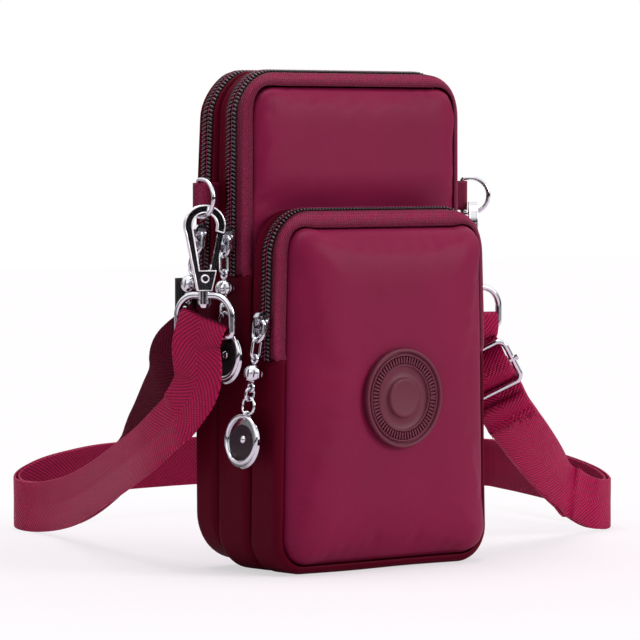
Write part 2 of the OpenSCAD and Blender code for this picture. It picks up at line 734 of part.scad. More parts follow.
// Path of the webbing from its cut end at the adjuster, round the left eye, to the right eye
path = concat(
    [for (p = [[2.7, -2.9], [1.9, -3.4], [1, -3.85], [0.77, -3.75], [0.45, -1.5], [0.12, 1.95]])
        [in_glide(p[0] * glide_half_l, p[1]), glide_x]],
    [for (a = [60 : -30 : -60]) [in_glide(-fold_r * cos(a), fold_r * sin(a)), glide_x]],
    [for (p = [[0.22, -2.6], [0.57, -4.6], [0.8, -5.5], [1.03, -5.6], [1.6, -5.1], [2.2, -4.6]])
        [in_glide(p[0] * glide_half_l, p[1]), glide_x]],
    [for (i = [len(joined) - 1 : -1 : 0]) [joined[i], up]],
    [for (i = [len(inner_run) - 1 : -1 : 0]) let (p = inner_run[i])
        [[p[0], p[1], p[2]], (1 - p[3]) * left_w + p[3] * up]],
    [for (a = [180 : -30 : 0]) [left_fold + fold_r * (cos(a) * left_side + sin(a) * left_up), left_w]],
    [for (i = [0 : len(outer_run) - 1]) [outer_points[i], outer_hints[i]]],
    [for (p = [[2.2, -1.5], [1.6, -1.75], [1.03, -2.05], [0.85, -2.05], [0.17, 4], [-0.17, 4], [-0.85, -2.05],
        [-1.03, -2.05], [-1.4, -2]]) [in_glide(p[0] * glide_half_l, p[1]), glide_x]],
    [[right_fold + fold_r * (right_side - 2.1 * up), right_bar]],
    [for (a = [0 : 30 : 180]) [right_fold + fold_r * (cos(a) * right_side + sin(a) * up), right_bar]],
    [for (drop = [2, 3.7]) [right_fold - fold_r * ((1 + drop / 12) * right_side + drop * up), right_bar]]);

module shoulder_strap() {
    points = [for (p = path) p[0]];
    n = len(points);
    corners = [for (i = [0 : n - 1])
        let (t = along(points, i)) let (w = across(path[i][1], t)) let (m = cross(t, w))
        each [for (c = [[1, 1], [-1, 1], [-1, -1], [1, -1]])
            points[i] + c[0] * strap_w / 2 * w + c[1] * strap_t / 2 * m]];
    sides = [for (i = [0 : n - 2]) for (k = [0 : 3]) let (a = 4 * i + k) let (b = 4 * i + (k + 1) % 4)
        each [[a, b, b + 4], [a, b + 4, a + 4]]];
    last = 4 * (n - 1);
    color(fabric_red) polyhedron(corners,
        concat(sides, [[3, 2, 1], [3, 1, 0], [last, last + 1, last + 2], [last, last + 2, last + 3]]));
}

module strap_adjuster() {
    flat_w = glide_half_w - glide_r;
    flat_l = glide_half_l - glide_r;
    color(metal) translate(glide_at) rotate(glide_turn) union() {
        for (side = [0, 1]) mirror([side, 0, 0]) {
            translate([glide_half_w, 0, -flat_l]) rod(2 * flat_l, glide_wire);
            translate([flat_w, 0, flat_l]) arc_wire(glide_r, glide_wire, 0, 90);
            translate([flat_w, 0, -flat_l]) arc_wire(glide_r, glide_wire, -90, 90);
        }
        for (z = [-glide_half_l, 0, glide_half_l]) {
            half = z == 0 ? glide_half_w + glide_wire : flat_w;
            translate([-half, 0, z]) rotate([0, 90, 0]) rod(2 * half, glide_wire);
        }
    }
}

// Slider in its own place: width along X, outward along Y, up along Z, with the tape's outside at Y = 0
window_w = bail_wire + 2 * link_gap;
bridge_w = 2.2;
bridge_l = 6;
bridge_t = 1.1;
top_y = coil_rise + 0.2;
neck_w = coil_slot - 2 * gap;
bail_y = top_y + plate_t + link_gap + bail_wire / 2;
bail_z = 1.2;

module slider_plan() {
    polygon([
        [-slider_w / 2, slider_l / 2 - slider_w / 4], [-slider_w / 4, slider_l / 2],
        [slider_w / 4, slider_l / 2], [slider_w / 2, slider_l / 2 - slider_w / 4],
        [slider_w * 0.36, -slider_l / 2 + plate_t], [slider_w * 0.28, -slider_l / 2],
        [-slider_w * 0.28, -slider_l / 2], [-slider_w * 0.36, -slider_l / 2 + plate_t]]);
}

module slider() {
    bottom_y = -tape_t - gap - plate_t;
    color(metal) union() {
        translate([0, top_y + plate_t, 0]) rotate([90, 0, 0]) linear_extrude(plate_t) slider_plan();
        translate([0, bottom_y + plate_t, 0]) rotate([90, 0, 0]) linear_extrude(plate_t) slider_plan();
        translate([-neck_w / 2, bottom_y, 0]) cube([neck_w, top_y - bottom_y + plate_t / 2, slider_l / 3]);
        translate([-bridge_w / 2, 0, bail_z]) rotate([90, 0, 90]) linear_extrude(bridge_w) difference() {
            polygon([
                [top_y + plate_t / 2, -bridge_l / 2], [bail_y + bail_wire / 2, -bridge_l / 2],
                [bail_y + bail_wire / 2 + link_gap + bridge_t, -bridge_l / 4],
                [bail_y + bail_wire / 2 + link_gap + bridge_t, bridge_l / 4],
                [bail_y + bail_wire / 2, bridge_l / 2], [top_y + plate_t / 2, bridge_l / 2]]);
            translate([top_y + plate_t, -bridge_l / 2 + bridge_t])
                square([bail_wire + 2 * link_gap, bridge_l - 2 * bridge_t]);
        }
    }
}

// Oval loop of wire in the plane of width and height, hanging from its upper bar's middle line
module oval(length, width, wire) {
    r = (width - wire) / 2;
    leg = length - width;
    union() {
        translate([0, 0, -r]) arc_wire(r, wire, 0, 180);
        translate([0, 0, -r - leg]) arc_wire(r, wire, 180, 180);
        if (length > width) for (side = [-1, 1]) translate([side * r, 0, -r - leg]) rod(leg, wire);
    }
}

module stirrup(length, width, wire) {
    bend = wire;
    half = (width - wire) / 2;
    r = half;
    leg = length - wire - bend - r;
    union() {
        translate([bend - half, 0, 0]) rotate([0, 90, 0]) rod(2 * (half - bend), wire);
        for (side = [0, 1]) mirror([side, 0, 0]) {
            translate([half - bend, 0, -bend]) arc_wire(bend, wire, 0, 90);
            translate([half, 0, -bend - leg]) rod(leg, wire);
        }
        translate([0, 0, -bend - leg]) arc_wire(r, wire, 180, 180);
    }
}

// Heights of the hanging pieces below the bail's upper bar, each at its own upper bar
eye_d = 4;
charm_eye_d = 3.8;
bail_drop = bail_l - bail_wire;
link_top = -bail_drop + (bail_wire + link_wire) / 2 + link_gap;
pin_top = link_top - link_l + 2 * link_wire + link_gap;
bead_top = pin_top - eye_d + link_wire;
bead_low = bead_top - bead_h - link_wire - link_gap;
pin_low = bead_low - eye_d + link_wire;
short_link_top = pin_low + link_wire + link_gap;
charm_ring_top = short_link_top - short_link_l + 2 * link_wire + link_gap;
charm_top = charm_ring_top - charm_ring_d + 2 * link_wire + link_gap;
charm_middle = charm_top - charm_eye_d + link_wire * 1.5 - charm_d / 2;
bail_bow_z = -bail_drop + (bail_w - bail_wire) / 2;

module bail() {
    color(metal) stirrup(bail_l, bail_w, bail_wire);
}

module link() {
    color(metal) translate([0, 0, link_top]) rotate([0, 0, 90]) oval(link_l, link_w, link_wire);
}

// Wire through the bead with an eye at each end
module bead_pin() {
    color(metal) union() {
        translate([0, 0, pin_top]) oval(eye_d, eye_d, link_wire);
        translate([0, 0, bead_low]) oval(eye_d, eye_d, link_wire);
        translate([0, 0, bead_low]) rod(bead_top - bead_low, link_wire);
    }
}

bead_ribs = 10;

module bead() {
    color(metal) translate([0, 0, (bead_top + bead_low) / 2]) difference() {
        intersection() {
            scale(bead_d / 2) sphere(1, $fn = 40);
            cylinder(h = bead_h, d = bead_d, center = true);
        }
        cylinder(h = bead_h + over, d = link_wire + gap, center = true);
        for (i = [0 : bead_ribs - 1]) rotate([0, 0, 360 * i / bead_ribs])
            translate([bead_d / 2 + link_wire / 5, 0, 0])
                cylinder(h = bead_h + over, d = link_wire, center = true, $fn = 20);
    }
}

module short_link() {
    color(metal) translate([0, 0, short_link_top]) rotate([0, 0, 90]) oval(short_link_l, link_w, link_wire);
}

module charm_ring() {
    color(metal) translate([0, 0, charm_ring_top]) oval(charm_ring_d, charm_ring_d, link_wire);
}

// Disc with a bright rim, a sunk face and a small dome, hung by an eye
charm_rim = 2.6;
charm_sink = 0.6;
dome_d = 2.4;

module charm() {
    r = charm_d / 2;
    color(metal) union() {
        translate([0, 0, charm_top]) rotate([0, 0, 90]) oval(charm_eye_d, charm_eye_d, link_wire);
        translate([0, 0, charm_middle]) rotate([90, 0, 0]) rotate_extrude($fn = 64) polygon([
            [0, -charm_t / 2 + charm_sink], [r - charm_rim, -charm_t / 2 + charm_sink],
            [r - charm_rim, -charm_t / 2], [r - charm_sink, -charm_t / 2], [r, 0],
            [r - charm_sink, charm_t / 2], [r - charm_rim, charm_t / 2],
            [r - charm_rim, charm_t / 2 - charm_sink], [dome_d / 2, charm_t / 2 - charm_sink],
            [dome_d / 3, charm_t / 2], [0, charm_t / 2 + charm_sink / 2]]);
    }
}

// Lean of each hanging puller towards the back, and its tilt away from the body
rear_lean = 9;
middle_lean = -6.5;
pocket_lean = 5;
rear_tilt = 6;
middle_tilt = 4;
pocket_tilt = 6;

module at_slider(box) {
    translate([-box[0] - swell, -box[8], box[7] + slider_rest]) rotate([0, 0, 90]) children();
}

module at_bail(box, tilt) {
    at_slider(box) translate([0, bail_y, bail_z]) rotate([tilt, 0, 0]) children();
}

// Everything below a bail leans about the middle of the bail's bow
module at_chain(box, tilt, lean) {
    at_bail(box, tilt) translate([0, 0, bail_bow_z]) rotate([0, -lean, 0])
        translate([0, 0, -bail_bow_z]) children();
}

module rear_slider() {
    at_slider(rear_box) slider();
}

module rear_bail() {
    at_bail(rear_box, rear_tilt) bail();
}

module rear_link() {
    at_chain(rear_box, rear_tilt, rear_lean) link();
}

module rear_bead_pin() {
    at_chain(rear_box, rear_tilt, rear_lean) bead_pin();
}

module rear_bead() {
    at_chain(rear_box, rear_tilt, rear_lean) bead();
}

module rear_short_link() {
    at_chain(rear_box, rear_tilt, rear_lean) short_link();
}

module rear_charm_ring() {
    at_chain(rear_box, rear_tilt, rear_lean) charm_ring();
}

module rear_charm() {
    at_chain(rear_box, rear_tilt, rear_lean) charm();
}

module middle_slider() {
    at_slider(middle_box) slider();
}

module middle_bail() {
    at_bail(middle_box, middle_tilt) bail();
}

module middle_link() {
    at_chain(middle_box, middle_tilt, middle_lean) link();
}

module middle_bead_pin() {
    at_chain(middle_box, middle_tilt, middle_lean) bead_pin();
}

module middle_bead() {
    at_chain(middle_box, middle_tilt, middle_lean) bead();
}

module middle_short_link() {
    at_chain(middle_box, middle_tilt, middle_lean) short_link();
}

module middle_charm_ring() {
    at_chain(middle_box, middle_tilt, middle_lean) charm_ring();
}

module middle_charm() {
    at_chain(middle_box, middle_tilt, middle_lean) charm();
}

module pocket_slider() {
    at_slider(pocket_box) slider();
}

module pocket_bail() {
    at_bail(pocket_box, pocket_tilt) bail();
}

module pocket_link() {
    at_chain(pocket_box, pocket_tilt, pocket_lean) link();
}

module pocket_bead_pin() {
    at_chain(pocket_box, pocket_tilt, pocket_lean) bead_pin();
}

module pocket_bead() {
    at_chain(pocket_box, pocket_tilt, pocket_lean) bead();
}

module pocket_short_link() {
    at_chain(pocket_box, pocket_tilt, pocket_lean) short_link();
}

module pocket_charm_ring() {
    at_chain(pocket_box, pocket_tilt, pocket_lean) charm_ring();
}

module pocket_charm() {
    at_chain(pocket_box, pocket_tilt, pocket_lean) charm();
}

back_panel();
gusset(rear_box);  // rear_gusset
zip_tapes(rear_box);  // rear_zip_tapes
zip_coil(rear_box);  // rear_zip_coil
lining(rear_box);  // rear_lining
compartment_divider();
gusset(middle_box);  // middle_gusset
zip_tapes(middle_box);  // middle_zip_tapes
zip_coil(middle_box);  // middle_zip_coil
lining(middle_box);  // middle_lining
main_front_panel();
gusset(pocket_box);  // pocket_gusset
zip_tapes(pocket_box);  // pocket_zip_tapes
zip_coil(pocket_box);  // pocket_zip_coil
lining(pocket_box);  // pocket_lining
pocket_front_panel();
badge();
left_tab();
right_tab();
arm_band();
shoulder_strap();
strap_adjuster();
left_strap_eye();
right_strap_eye();
left_ring();
left_hook();
left_swivel_pin();
left_hook_gate();
left_gate_rivet();
left_gate_spring();
right_ring();
right_hook();
right_swivel_pin();
right_hook_gate();
right_gate_rivet();
right_gate_spring();
rear_slider();
rear_bail();
rear_link();
rear_bead_pin();
rear_bead();
rear_short_link();
rear_charm_ring();
rear_charm();
middle_slider();
middle_bail();
middle_link();
middle_bead_pin();
middle_bead();
middle_short_link();
middle_charm_ring();
middle_charm();
pocket_slider();
pocket_bail();
pocket_link();
pocket_bead_pin();
pocket_bead();
pocket_short_link();
pocket_charm_ring();
pocket_charm();
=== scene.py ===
import json
import math

import bmesh
import bpy
import numpy as np
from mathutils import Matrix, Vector


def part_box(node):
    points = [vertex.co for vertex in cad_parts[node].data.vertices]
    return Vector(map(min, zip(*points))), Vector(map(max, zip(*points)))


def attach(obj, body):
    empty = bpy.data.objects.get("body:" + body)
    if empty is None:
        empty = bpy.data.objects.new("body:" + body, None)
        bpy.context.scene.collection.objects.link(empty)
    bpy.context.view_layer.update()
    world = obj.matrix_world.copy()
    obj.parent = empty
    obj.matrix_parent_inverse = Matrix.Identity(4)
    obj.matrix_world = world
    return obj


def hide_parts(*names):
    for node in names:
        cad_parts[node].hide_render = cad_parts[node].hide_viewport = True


bl_info = {
    "name": "Phone pouch",
    "version": (1, 0, 0),
    "blender": (4, 5, 0),
    "location": "View3D > Sidebar > Pouch",
    "description": "Builds the soft parts, zips, webbing and finishes of a phone pouch",
    "category": "Object",
}

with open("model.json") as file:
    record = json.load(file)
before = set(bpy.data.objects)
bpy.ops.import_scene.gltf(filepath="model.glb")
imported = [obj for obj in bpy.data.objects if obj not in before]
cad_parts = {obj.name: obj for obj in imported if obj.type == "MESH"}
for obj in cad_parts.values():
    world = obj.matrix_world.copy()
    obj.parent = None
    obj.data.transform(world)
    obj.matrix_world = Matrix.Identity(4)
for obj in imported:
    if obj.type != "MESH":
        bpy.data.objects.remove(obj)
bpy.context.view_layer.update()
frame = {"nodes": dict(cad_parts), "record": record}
MM = 0.001
POUCH = "pouch"
UP = np.array([0.0, 0.0, 1.0])
TURN = 2 * math.pi

# The photograph's viewpoint in metres, fitted to the outlines of the badge and the pouch
CAMERA_AT = (-0.98577, -1.16168, 0.15496)
CAMERA_AIM = (-0.011, 0, 0.0914)
CAMERA_LENS_MM = 232.46
FRAME_PX = 640
FRAME_SHIFT_PX = -2.5


def linear(code):
    """Turns an sRGB hex colour into the linear values that shaders read."""
    shares = [int(code[i:i + 2], 16) / 255 for i in (0, 2, 4)]
    return tuple(s / 12.92 if s <= 0.04045 else ((s + 0.055) / 1.055) ** 2.4 for s in shares)


def box_mm(node):
    """Lowest and highest corner of a CAD node, in millimetres."""
    low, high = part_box(node)
    return np.array(low) / MM, np.array(high) / MM


# Planes and outlines of the compartments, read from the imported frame
back_low, back_high = box_mm("back_panel")
divider_low, divider_high = box_mm("compartment_divider")
front_low, front_high = box_mm("main_front_panel")
pocket_low, pocket_high = box_mm("pocket_front_panel")
gusset_low, gusset_high = box_mm("pocket_gusset")
FABRIC_T = back_high[1] - back_low[1]
BACK_Y = back_high[1]
DIVIDER_Y = (divider_low[1] + divider_high[1]) / 2
FRONT_Y = (front_low[1] + front_high[1]) / 2
POCKET_Y = pocket_high[1] - FABRIC_T
PUFF = POCKET_Y - pocket_low[1]
SWELL = gusset_high[0] - pocket_high[0]


def compartment(name, panel, rear, front, low_r, high_r, drop, corner):
    """A compartment's outline, seam planes and zip, and the drop and squareness of its front top seam."""
    low, high = box_mm(panel)
    zip_low, zip_high = box_mm(name + "_zip_coil")
    return {
        "name": name, "half": high[0], "low": low[2], "high": high[2], "low_r": low_r, "high_r": high_r,
        "rear": rear, "front": front, "end": zip_low[2], "coil": (zip_low[1] + zip_high[1]) / 2,
        "coil_half": (zip_high[1] - zip_low[1]) / 2, "drop": drop, "corner": corner,
    }


# Radii of the lower and upper corners, then the drop and squareness read from the photograph's seams
REAR = compartment("rear", "back_panel", BACK_Y, DIVIDER_Y, 16, 14, 0.0, 0.0)
MIDDLE = compartment("middle", "main_front_panel", DIVIDER_Y, FRONT_Y, 13, 14, 1.7, 1.7)
POCKET = compartment("pocket", "pocket_front_panel", FRONT_Y, POCKET_Y, 11, 14, 3.0, 1.9)
COMPARTMENTS = (REAR, MIDDLE, POCKET)


def length_property(name, description, millimetres):
    """A length that a user may change."""
    return bpy.props.FloatProperty(
        name=name, description=description, default=millimetres * MM, unit="LENGTH")


def colour_property(name, description, code):
    """A colour that a user may change, given as its hex code."""
    return bpy.props.FloatVectorProperty(
        name=name, description=description, default=linear(code), subtype="COLOR", size=3)


class PouchSizes(bpy.types.PropertyGroup):
    """Sizes of the cloth, zips, webbing and badge"""
    roll: length_property("Seam roll", "Depth over which a gusset rolls into its seam", 3.0)
    groove: length_property("Seam groove", "How far a seam sinks below the seam line", 0.9)
    main_puff: length_property("Main panel puff", "How far the main front panel swells above the pocket", 3.2)
    tooth_pitch: length_property("Tooth pitch", "Distance between two turns of the zip's coil", 1.45)
    tooth_wire: length_property("Tooth wire", "Thickness of the coil's nylon wire", 0.95)
    twill_pitch: length_property("Twill pitch", "Distance between the webbing's slanted ribs", 1.7)
    tick_count: bpy.props.IntProperty(
        name="Badge ticks", description="Number of short ribs round the badge", default=68)


class PouchColours(bpy.types.PropertyGroup):
    """Colours of the cloth, rubber and metal"""
    nylon: colour_property("Nylon", "Colour of the panels", "7c133c")
    # The gussets' colour is the panels' nylon, darkened by painted shade
    shaded: colour_property("Gusset nylon", "Colour of the gussets", "54031b")
    lining: colour_property("Lining", "Colour of the inner bags", "3a2a30")
    tape: colour_property("Zip tape", "Colour of the zip tapes", "78143a")
    webbing: colour_property("Webbing", "Colour of the webbing's raised ribs", "bc1353")
    coil: colour_property("Zip coil", "Colour of the zip coils", "0e0a0b")
    thread: colour_property("Thread", "Colour of the thread that holds the coils", "a83c66")
    badge: colour_property("Badge", "Colour of the rubber badge", "622035")
    metal: colour_property("Metal", "Colour of the plated metal", "d4d4da")


def sizes():
    """The scene's sizes, in metres and counts."""
    return bpy.context.scene.pouch_sizes


def colours():
    """The scene's colours, linear."""
    return bpy.context.scene.pouch_colours


def mm(name):
    """One of the scene's sizes, in millimetres."""
    return getattr(sizes(), name) / MM


def add(tree, kind, links=None, **settings):
    """Adds a node with its settings, and links or sets its inputs."""
    node = tree.nodes.new(kind)
    for name, value in settings.items():
        setattr(node, name, value)
    for socket, source in (links or {}).items():
        if isinstance(source, bpy.types.NodeSocket):
            tree.links.new(source, node.inputs[socket])
        else:
            node.inputs[socket].default_value = source
    return node


def dark(colour, share):
    """A colour times a share, which may be above one."""
    return tuple(c * share for c in colour)


def finish_material(tree, colour, height, distance, **constants):
    """Ends a material in a principled shader with a bump from the height."""
    links = {"Base Color": colour}
    if height is not None:
        bump = add(tree, "ShaderNodeBump", {"Strength": 1.0, "Distance": distance, "Height": height})
        links["Normal"] = bump.outputs[0]
    for socket, value in constants.items():
        links[socket.replace("_", " ")] = value
    shader = add(tree, "ShaderNodeBsdfPrincipled", links)
    add(tree, "ShaderNodeOutputMaterial", {"Surface": shader.outputs[0]})


def empty_material(name):
    """A new material with its empty node tree, or an existing one with no tree."""
    if name in bpy.data.materials:
        return bpy.data.materials[name], None
    material = bpy.data.materials.new(name)
    material.use_nodes = True
    material.node_tree.nodes.clear()
    return material, material.node_tree


def ridges(tree, along, pitch):
    """A wave with one ridge for each pitch along a coordinate in metres."""
    phase = add(tree, "ShaderNodeMath", {0: along, 1: TURN / pitch}, operation="MULTIPLY")
    return add(tree, "ShaderNodeMath", {0: phase.outputs[0]}, operation="SINE").outputs[0]


def nylon(name, colour, gloss=0.12):
    """Calendered nylon: a smooth, slightly soft cloth with a fine even grain and a faint sheen."""
    material, tree = empty_material(name)
    if tree is None:
        return material
    place = add(tree, "ShaderNodeTexCoord").outputs["Object"]
    broad = add(tree, "ShaderNodeTexNoise", {"Vector": place, "Scale": 1 / (38 * MM), "Detail": 2.0})
    # The real thread spacing is about 0.25 mm, drawn at 0.6 mm so that it shows
    grain = add(tree, "ShaderNodeTexNoise", {"Vector": place, "Scale": 1 / (0.6 * MM), "Detail": 3.0})
    crease = add(tree, "ShaderNodeTexNoise", {"Vector": place, "Scale": 1 / (12 * MM), "Detail": 3.0})
    mixed = add(tree, "ShaderNodeMath", {0: grain.outputs[0], 1: 0.6, 2: broad.outputs[0]},
                operation="MULTIPLY_ADD")
    tint = add(tree, "ShaderNodeMapRange", {
        "Value": mixed.outputs[0], "From Min": 0.45, "From Max": 1.15, "To Min": 0.0, "To Max": 1.0})
    shade = add(tree, "ShaderNodeMix", {
        0: tint.outputs[0], 6: (*dark(colour, 0.86), 1), 7: (*dark(colour, 1.14), 1)}, data_type="RGBA")
    height = add(tree, "ShaderNodeMath", {0: crease.outputs[0], 1: 4.0, 2: grain.outputs[0]},
                 operation="MULTIPLY_ADD")
    finish_material(tree, shade.outputs[2], height.outputs[0], 0.05 * MM,
                    Roughness=0.5, Specular_IOR_Level=gloss)
    return material


def gusset_nylon():
    """The gussets' nylon: the panels' cloth, darker by painted shade and with hardly any sheen."""
    return nylon("calendered_nylon_gusset", tuple(colours().shaded), 0.04)


def tape_cloth():
    """Woven polyester zip tape: a dense ribbed twill with raised cords across it."""
    material, tree = empty_material("woven_polyester_tape")
    if tree is None:
        return material
    colour = tuple(colours().tape)
    # The real cords are about 0.6 mm apart, drawn coarser so that they show
    cord_pitch, rib_pitch, slope = 0.9 * MM, 0.75 * MM, 0.7
    uv = add(tree, "ShaderNodeUVMap", uv_map="weave")
    split = add(tree, "ShaderNodeSeparateXYZ", {0: uv.outputs[0]})
    slant = add(tree, "ShaderNodeMath", {0: split.outputs[1], 1: slope, 2: split.outputs[0]},
                operation="MULTIPLY_ADD")
    cords = ridges(tree, slant.outputs[0], cord_pitch)
    ribs = ridges(tree, split.outputs[1], rib_pitch)
    place = add(tree, "ShaderNodeTexCoord").outputs["Object"]
    fuzz = add(tree, "ShaderNodeTexNoise", {"Vector": place, "Scale": 1 / (0.8 * MM), "Detail": 2.0})
    both = add(tree, "ShaderNodeMath", {0: ribs, 1: 0.35, 2: cords}, operation="MULTIPLY_ADD")
    height = add(tree, "ShaderNodeMath", {0: fuzz.outputs[0], 1: 3.2, 2: both.outputs[0]},
                 operation="MULTIPLY_ADD")
    # Darker where the weave is low and lighter where it is high: painted shade in the grooves between ribs
    # and cords, painted light on their tops, with the fuzz's own uneven tone
    tint = add(tree, "ShaderNodeMapRange", {
        "Value": height.outputs[0], "From Min": 0.0, "From Max": 3.1, "To Min": 0.0, "To Max": 1.0})
    shade = add(tree, "ShaderNodeMix", {
        0: tint.outputs[0], 6: (*dark(colour, 0.5), 1), 7: (*dark(colour, 1.45), 1)}, data_type="RGBA")
    # On the zip tapes the tone attribute is painted light and shade: a highlight on the lip at each seam,
    # shade on the flat
    tone = add(tree, "ShaderNodeAttribute", attribute_name="tone")
    toned = add(tree, "ShaderNodeVectorMath", {0: shade.outputs[2], 3: tone.outputs["Fac"]},
                operation="SCALE")
    finish_material(tree, toned.outputs[0], height.outputs[0], 0.09 * MM,
                    Roughness=0.6, Specular_IOR_Level=0.2)
    return material


def herringbone():
    """Polyester webbing woven in a herringbone: glossy slanted ribs that meet along the middle."""
    material, tree = empty_material("herringbone_webbing")
    if tree is None:
        return material
    colour = tuple(colours().webbing)
    pitch = sizes().twill_pitch
    uv = add(tree, "ShaderNodeUVMap", uv_map="weave")
    split = add(tree, "ShaderNodeSeparateXYZ", {0: uv.outputs[0]})
    side = add(tree, "ShaderNodeMath", {0: split.outputs[1]}, operation="ABSOLUTE")
    slant = add(tree, "ShaderNodeMath", {0: split.outputs[0], 1: side.outputs[0]}, operation="SUBTRACT")
    ribs = ridges(tree, slant.outputs[0], pitch)
    # Threads that cross the ribs, half a rib apart
    cross = add(tree, "ShaderNodeMath", {0: split.outputs[0], 1: side.outputs[0]}, operation="ADD")
    threads = ridges(tree, cross.outputs[0], pitch / 2)
    place = add(tree, "ShaderNodeTexCoord").outputs["Object"]
    fuzz = add(tree, "ShaderNodeTexNoise", {"Vector": place, "Scale": 1 / (9 * MM), "Detail": 3.0})
    both = add(tree, "ShaderNodeMath", {0: threads, 1: 0.85, 2: ribs}, operation="MULTIPLY_ADD")
    height = add(tree, "ShaderNodeMath", {0: fuzz.outputs[0], 1: 0.8, 2: both.outputs[0]},
                 operation="MULTIPLY_ADD")
    # Darker in the grooves between ribs and threads and lighter on their tops: painted shade and painted
    # light that follow the weave, with the fuzz's own uneven tone
    tint = add(tree, "ShaderNodeMapRange", {
        "Value": height.outputs[0], "From Min": -1.0, "From Max": 1.7, "To Min": 0.0, "To Max": 1.0})
    shade = add(tree, "ShaderNodeMix", {
        0: tint.outputs[0], 6: (*dark(colour, 0.3), 1), 7: (*dark(colour, 1.25), 1)}, data_type="RGBA")
    tone = add(tree, "ShaderNodeAttribute", attribute_name="tone")
    # The shaded layer is matt, so that it keeps no sheen at a low angle
    sheen = add(tree, "ShaderNodeMapRange", {
        "Value": tone.outputs["Fac"], "From Min": 0.2, "From Max": 1.0, "To Min": 1.0, "To Max": 0.42})
    # The tone attribute is painted shade on the strap's inner layer behind the left fold and on the loop's
    # inner face
    toned = add(tree, "ShaderNodeVectorMath", {0: shade.outputs[2], 3: tone.outputs["Fac"]},
                operation="SCALE")
    finish_material(tree, toned.outputs[0], height.outputs[0], 0.12 * MM,
                    Roughness=sheen.outputs[0], Specular_IOR_Level=0.12)
    return material


def plain_material(name, colour, grain_mm, depth_mm, contrast=0.1, **constants):
    """A moulded, plated or dyed surface with a fine grain."""
    material, tree = empty_material(name)
    if tree is None:
        return material
    place = add(tree, "ShaderNodeTexCoord").outputs["Object"]
    grain = add(tree, "ShaderNodeTexNoise", {"Vector": place, "Scale": 1 / (grain_mm * MM), "Detail": 3.0})
    shade = add(tree, "ShaderNodeMix", {
        0: grain.outputs[0], 6: (*dark(colour, 1 - contrast), 1), 7: (*dark(colour, 1 + contrast), 1)},
        data_type="RGBA")
    height = grain.outputs[0] if depth_mm > 0 else None
    finish_material(tree, shade.outputs[2], height, depth_mm * MM, **constants)
    return material


def coil_nylon():
    """Extruded nylon monofilament, dyed black, with small sharp glints."""
    return plain_material("black_nylon_coil", tuple(colours().coil), 2.0, 0.0, Roughness=0.15, IOR=1.58)


def sewing_thread():
    """Twisted polyester thread that holds the coil on its tape."""
    return plain_material("polyester_sewing_thread", tuple(colours().thread), 0.8, 0.0, contrast=0.2,
                          Roughness=0.6, Specular_IOR_Level=0.3)


def bright_nickel():
    """Polished nickel plate on a zinc casting: mirror bright with slight waves."""
    return plain_material("polished_nickel_plate", tuple(colours().metal), 3.0, 0.012, contrast=0.04,
                          Metallic=1.0, Roughness=0.1)


def edge_nickel():
    """Broken edges of the castings: the plate is rougher there, and its lighter colour is a painted
    highlight, so that they always catch some light.
    """
    return plain_material("highlight_nickel_edge", linear("f6f4f6"), 3.0, 0.012, contrast=0.04,
                          Metallic=1.0, Roughness=0.36)


def dull_nickel():
    """Sand-cast dark field inside the charm's rim, coarse and nearly black in its pits."""
    return plain_material("sandblasted_dark_nickel", linear("3f3338"), 0.5, 0.25, contrast=0.75,
                          Metallic=1.0, Roughness=0.45)


def badge_rubber():
    """Soft moulded rubber with a fine matt grain."""
    return plain_material("moulded_soft_rubber", tuple(colours().badge), 0.7, 0.03, contrast=0.08,
                          Roughness=0.5, Specular_IOR_Level=0.28)


def elastic_cloth():
    """Ribbed elastic, black, with a cord every millimetre."""
    material, tree = empty_material("ribbed_black_elastic")
    if tree is None:
        return material
    uv = add(tree, "ShaderNodeUVMap", uv_map="weave")
    split = add(tree, "ShaderNodeSeparateXYZ", {0: uv.outputs[0]})
    cord_pitch = 1.0 * MM
    ribs = ridges(tree, split.outputs[0], cord_pitch)
    # The ribs' tops are lighter and their grooves darker: painted light and painted shade on the black
    # elastic
    tint = add(tree, "ShaderNodeMapRange", {"Value": ribs, "From Min": -1.0, "From Max": 1.0})
    shade = add(tree, "ShaderNodeMix", {
        0: tint.outputs[0], 6: (*linear("060405"), 1), 7: (*linear("211b1d"), 1)}, data_type="RGBA")
    finish_material(tree, shade.outputs[2], ribs, 0.1 * MM,
                    Roughness=0.7, Specular_IOR_Level=0.2)
    return material


def mesh_piece(name, points, faces, material, uvs=None, smooth=True, wall=0.0):
    """A mesh object from points in millimetres, with an optional wall laid on its inside."""
    mesh = bpy.data.meshes.new(name)
    mesh.from_pydata([tuple(p) for p in np.asarray(points, float) * MM], [], [tuple(f) for f in faces])
    if uvs is not None:
        layer = mesh.uv_layers.new(name="weave")
        corners = np.array([loop.vertex_index for loop in mesh.loops])
        layer.data.foreach_set("uv", (np.asarray(uvs, float)[corners] * MM).ravel())
    mesh.polygons.foreach_set("use_smooth", [smooth] * len(mesh.polygons))
    mesh.materials.append(material)
    piece = bpy.data.objects.new(name, mesh)
    bpy.context.scene.collection.objects.link(piece)
    if wall:
        solid = piece.modifiers.new("wall", "SOLIDIFY")
        solid.thickness = wall * MM
        solid.offset = -1
    return piece


def place(piece, slot, *nodes, body=POUCH):
    """Puts a finished piece on its body, in the stead of CAD nodes."""
    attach(piece, body)
    if nodes:
        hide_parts(*nodes)
    return piece


def grid_faces(rows, columns, closed=False):
    """Faces of a grid of points, joined round each row where it is closed."""
    faces = []
    for i in range(rows - 1):
        for j in range(columns if closed else columns - 1):
            a, b = i * columns + j, i * columns + (j + 1) % columns
            faces.append((a, b, b + columns, a + columns))
    return faces


def depth_share(y):
    """Zero at the main front panel and before it, one at the back panel."""
    return np.clip((y - FRONT_Y) / (BACK_Y - FRONT_Y), 0, 1)


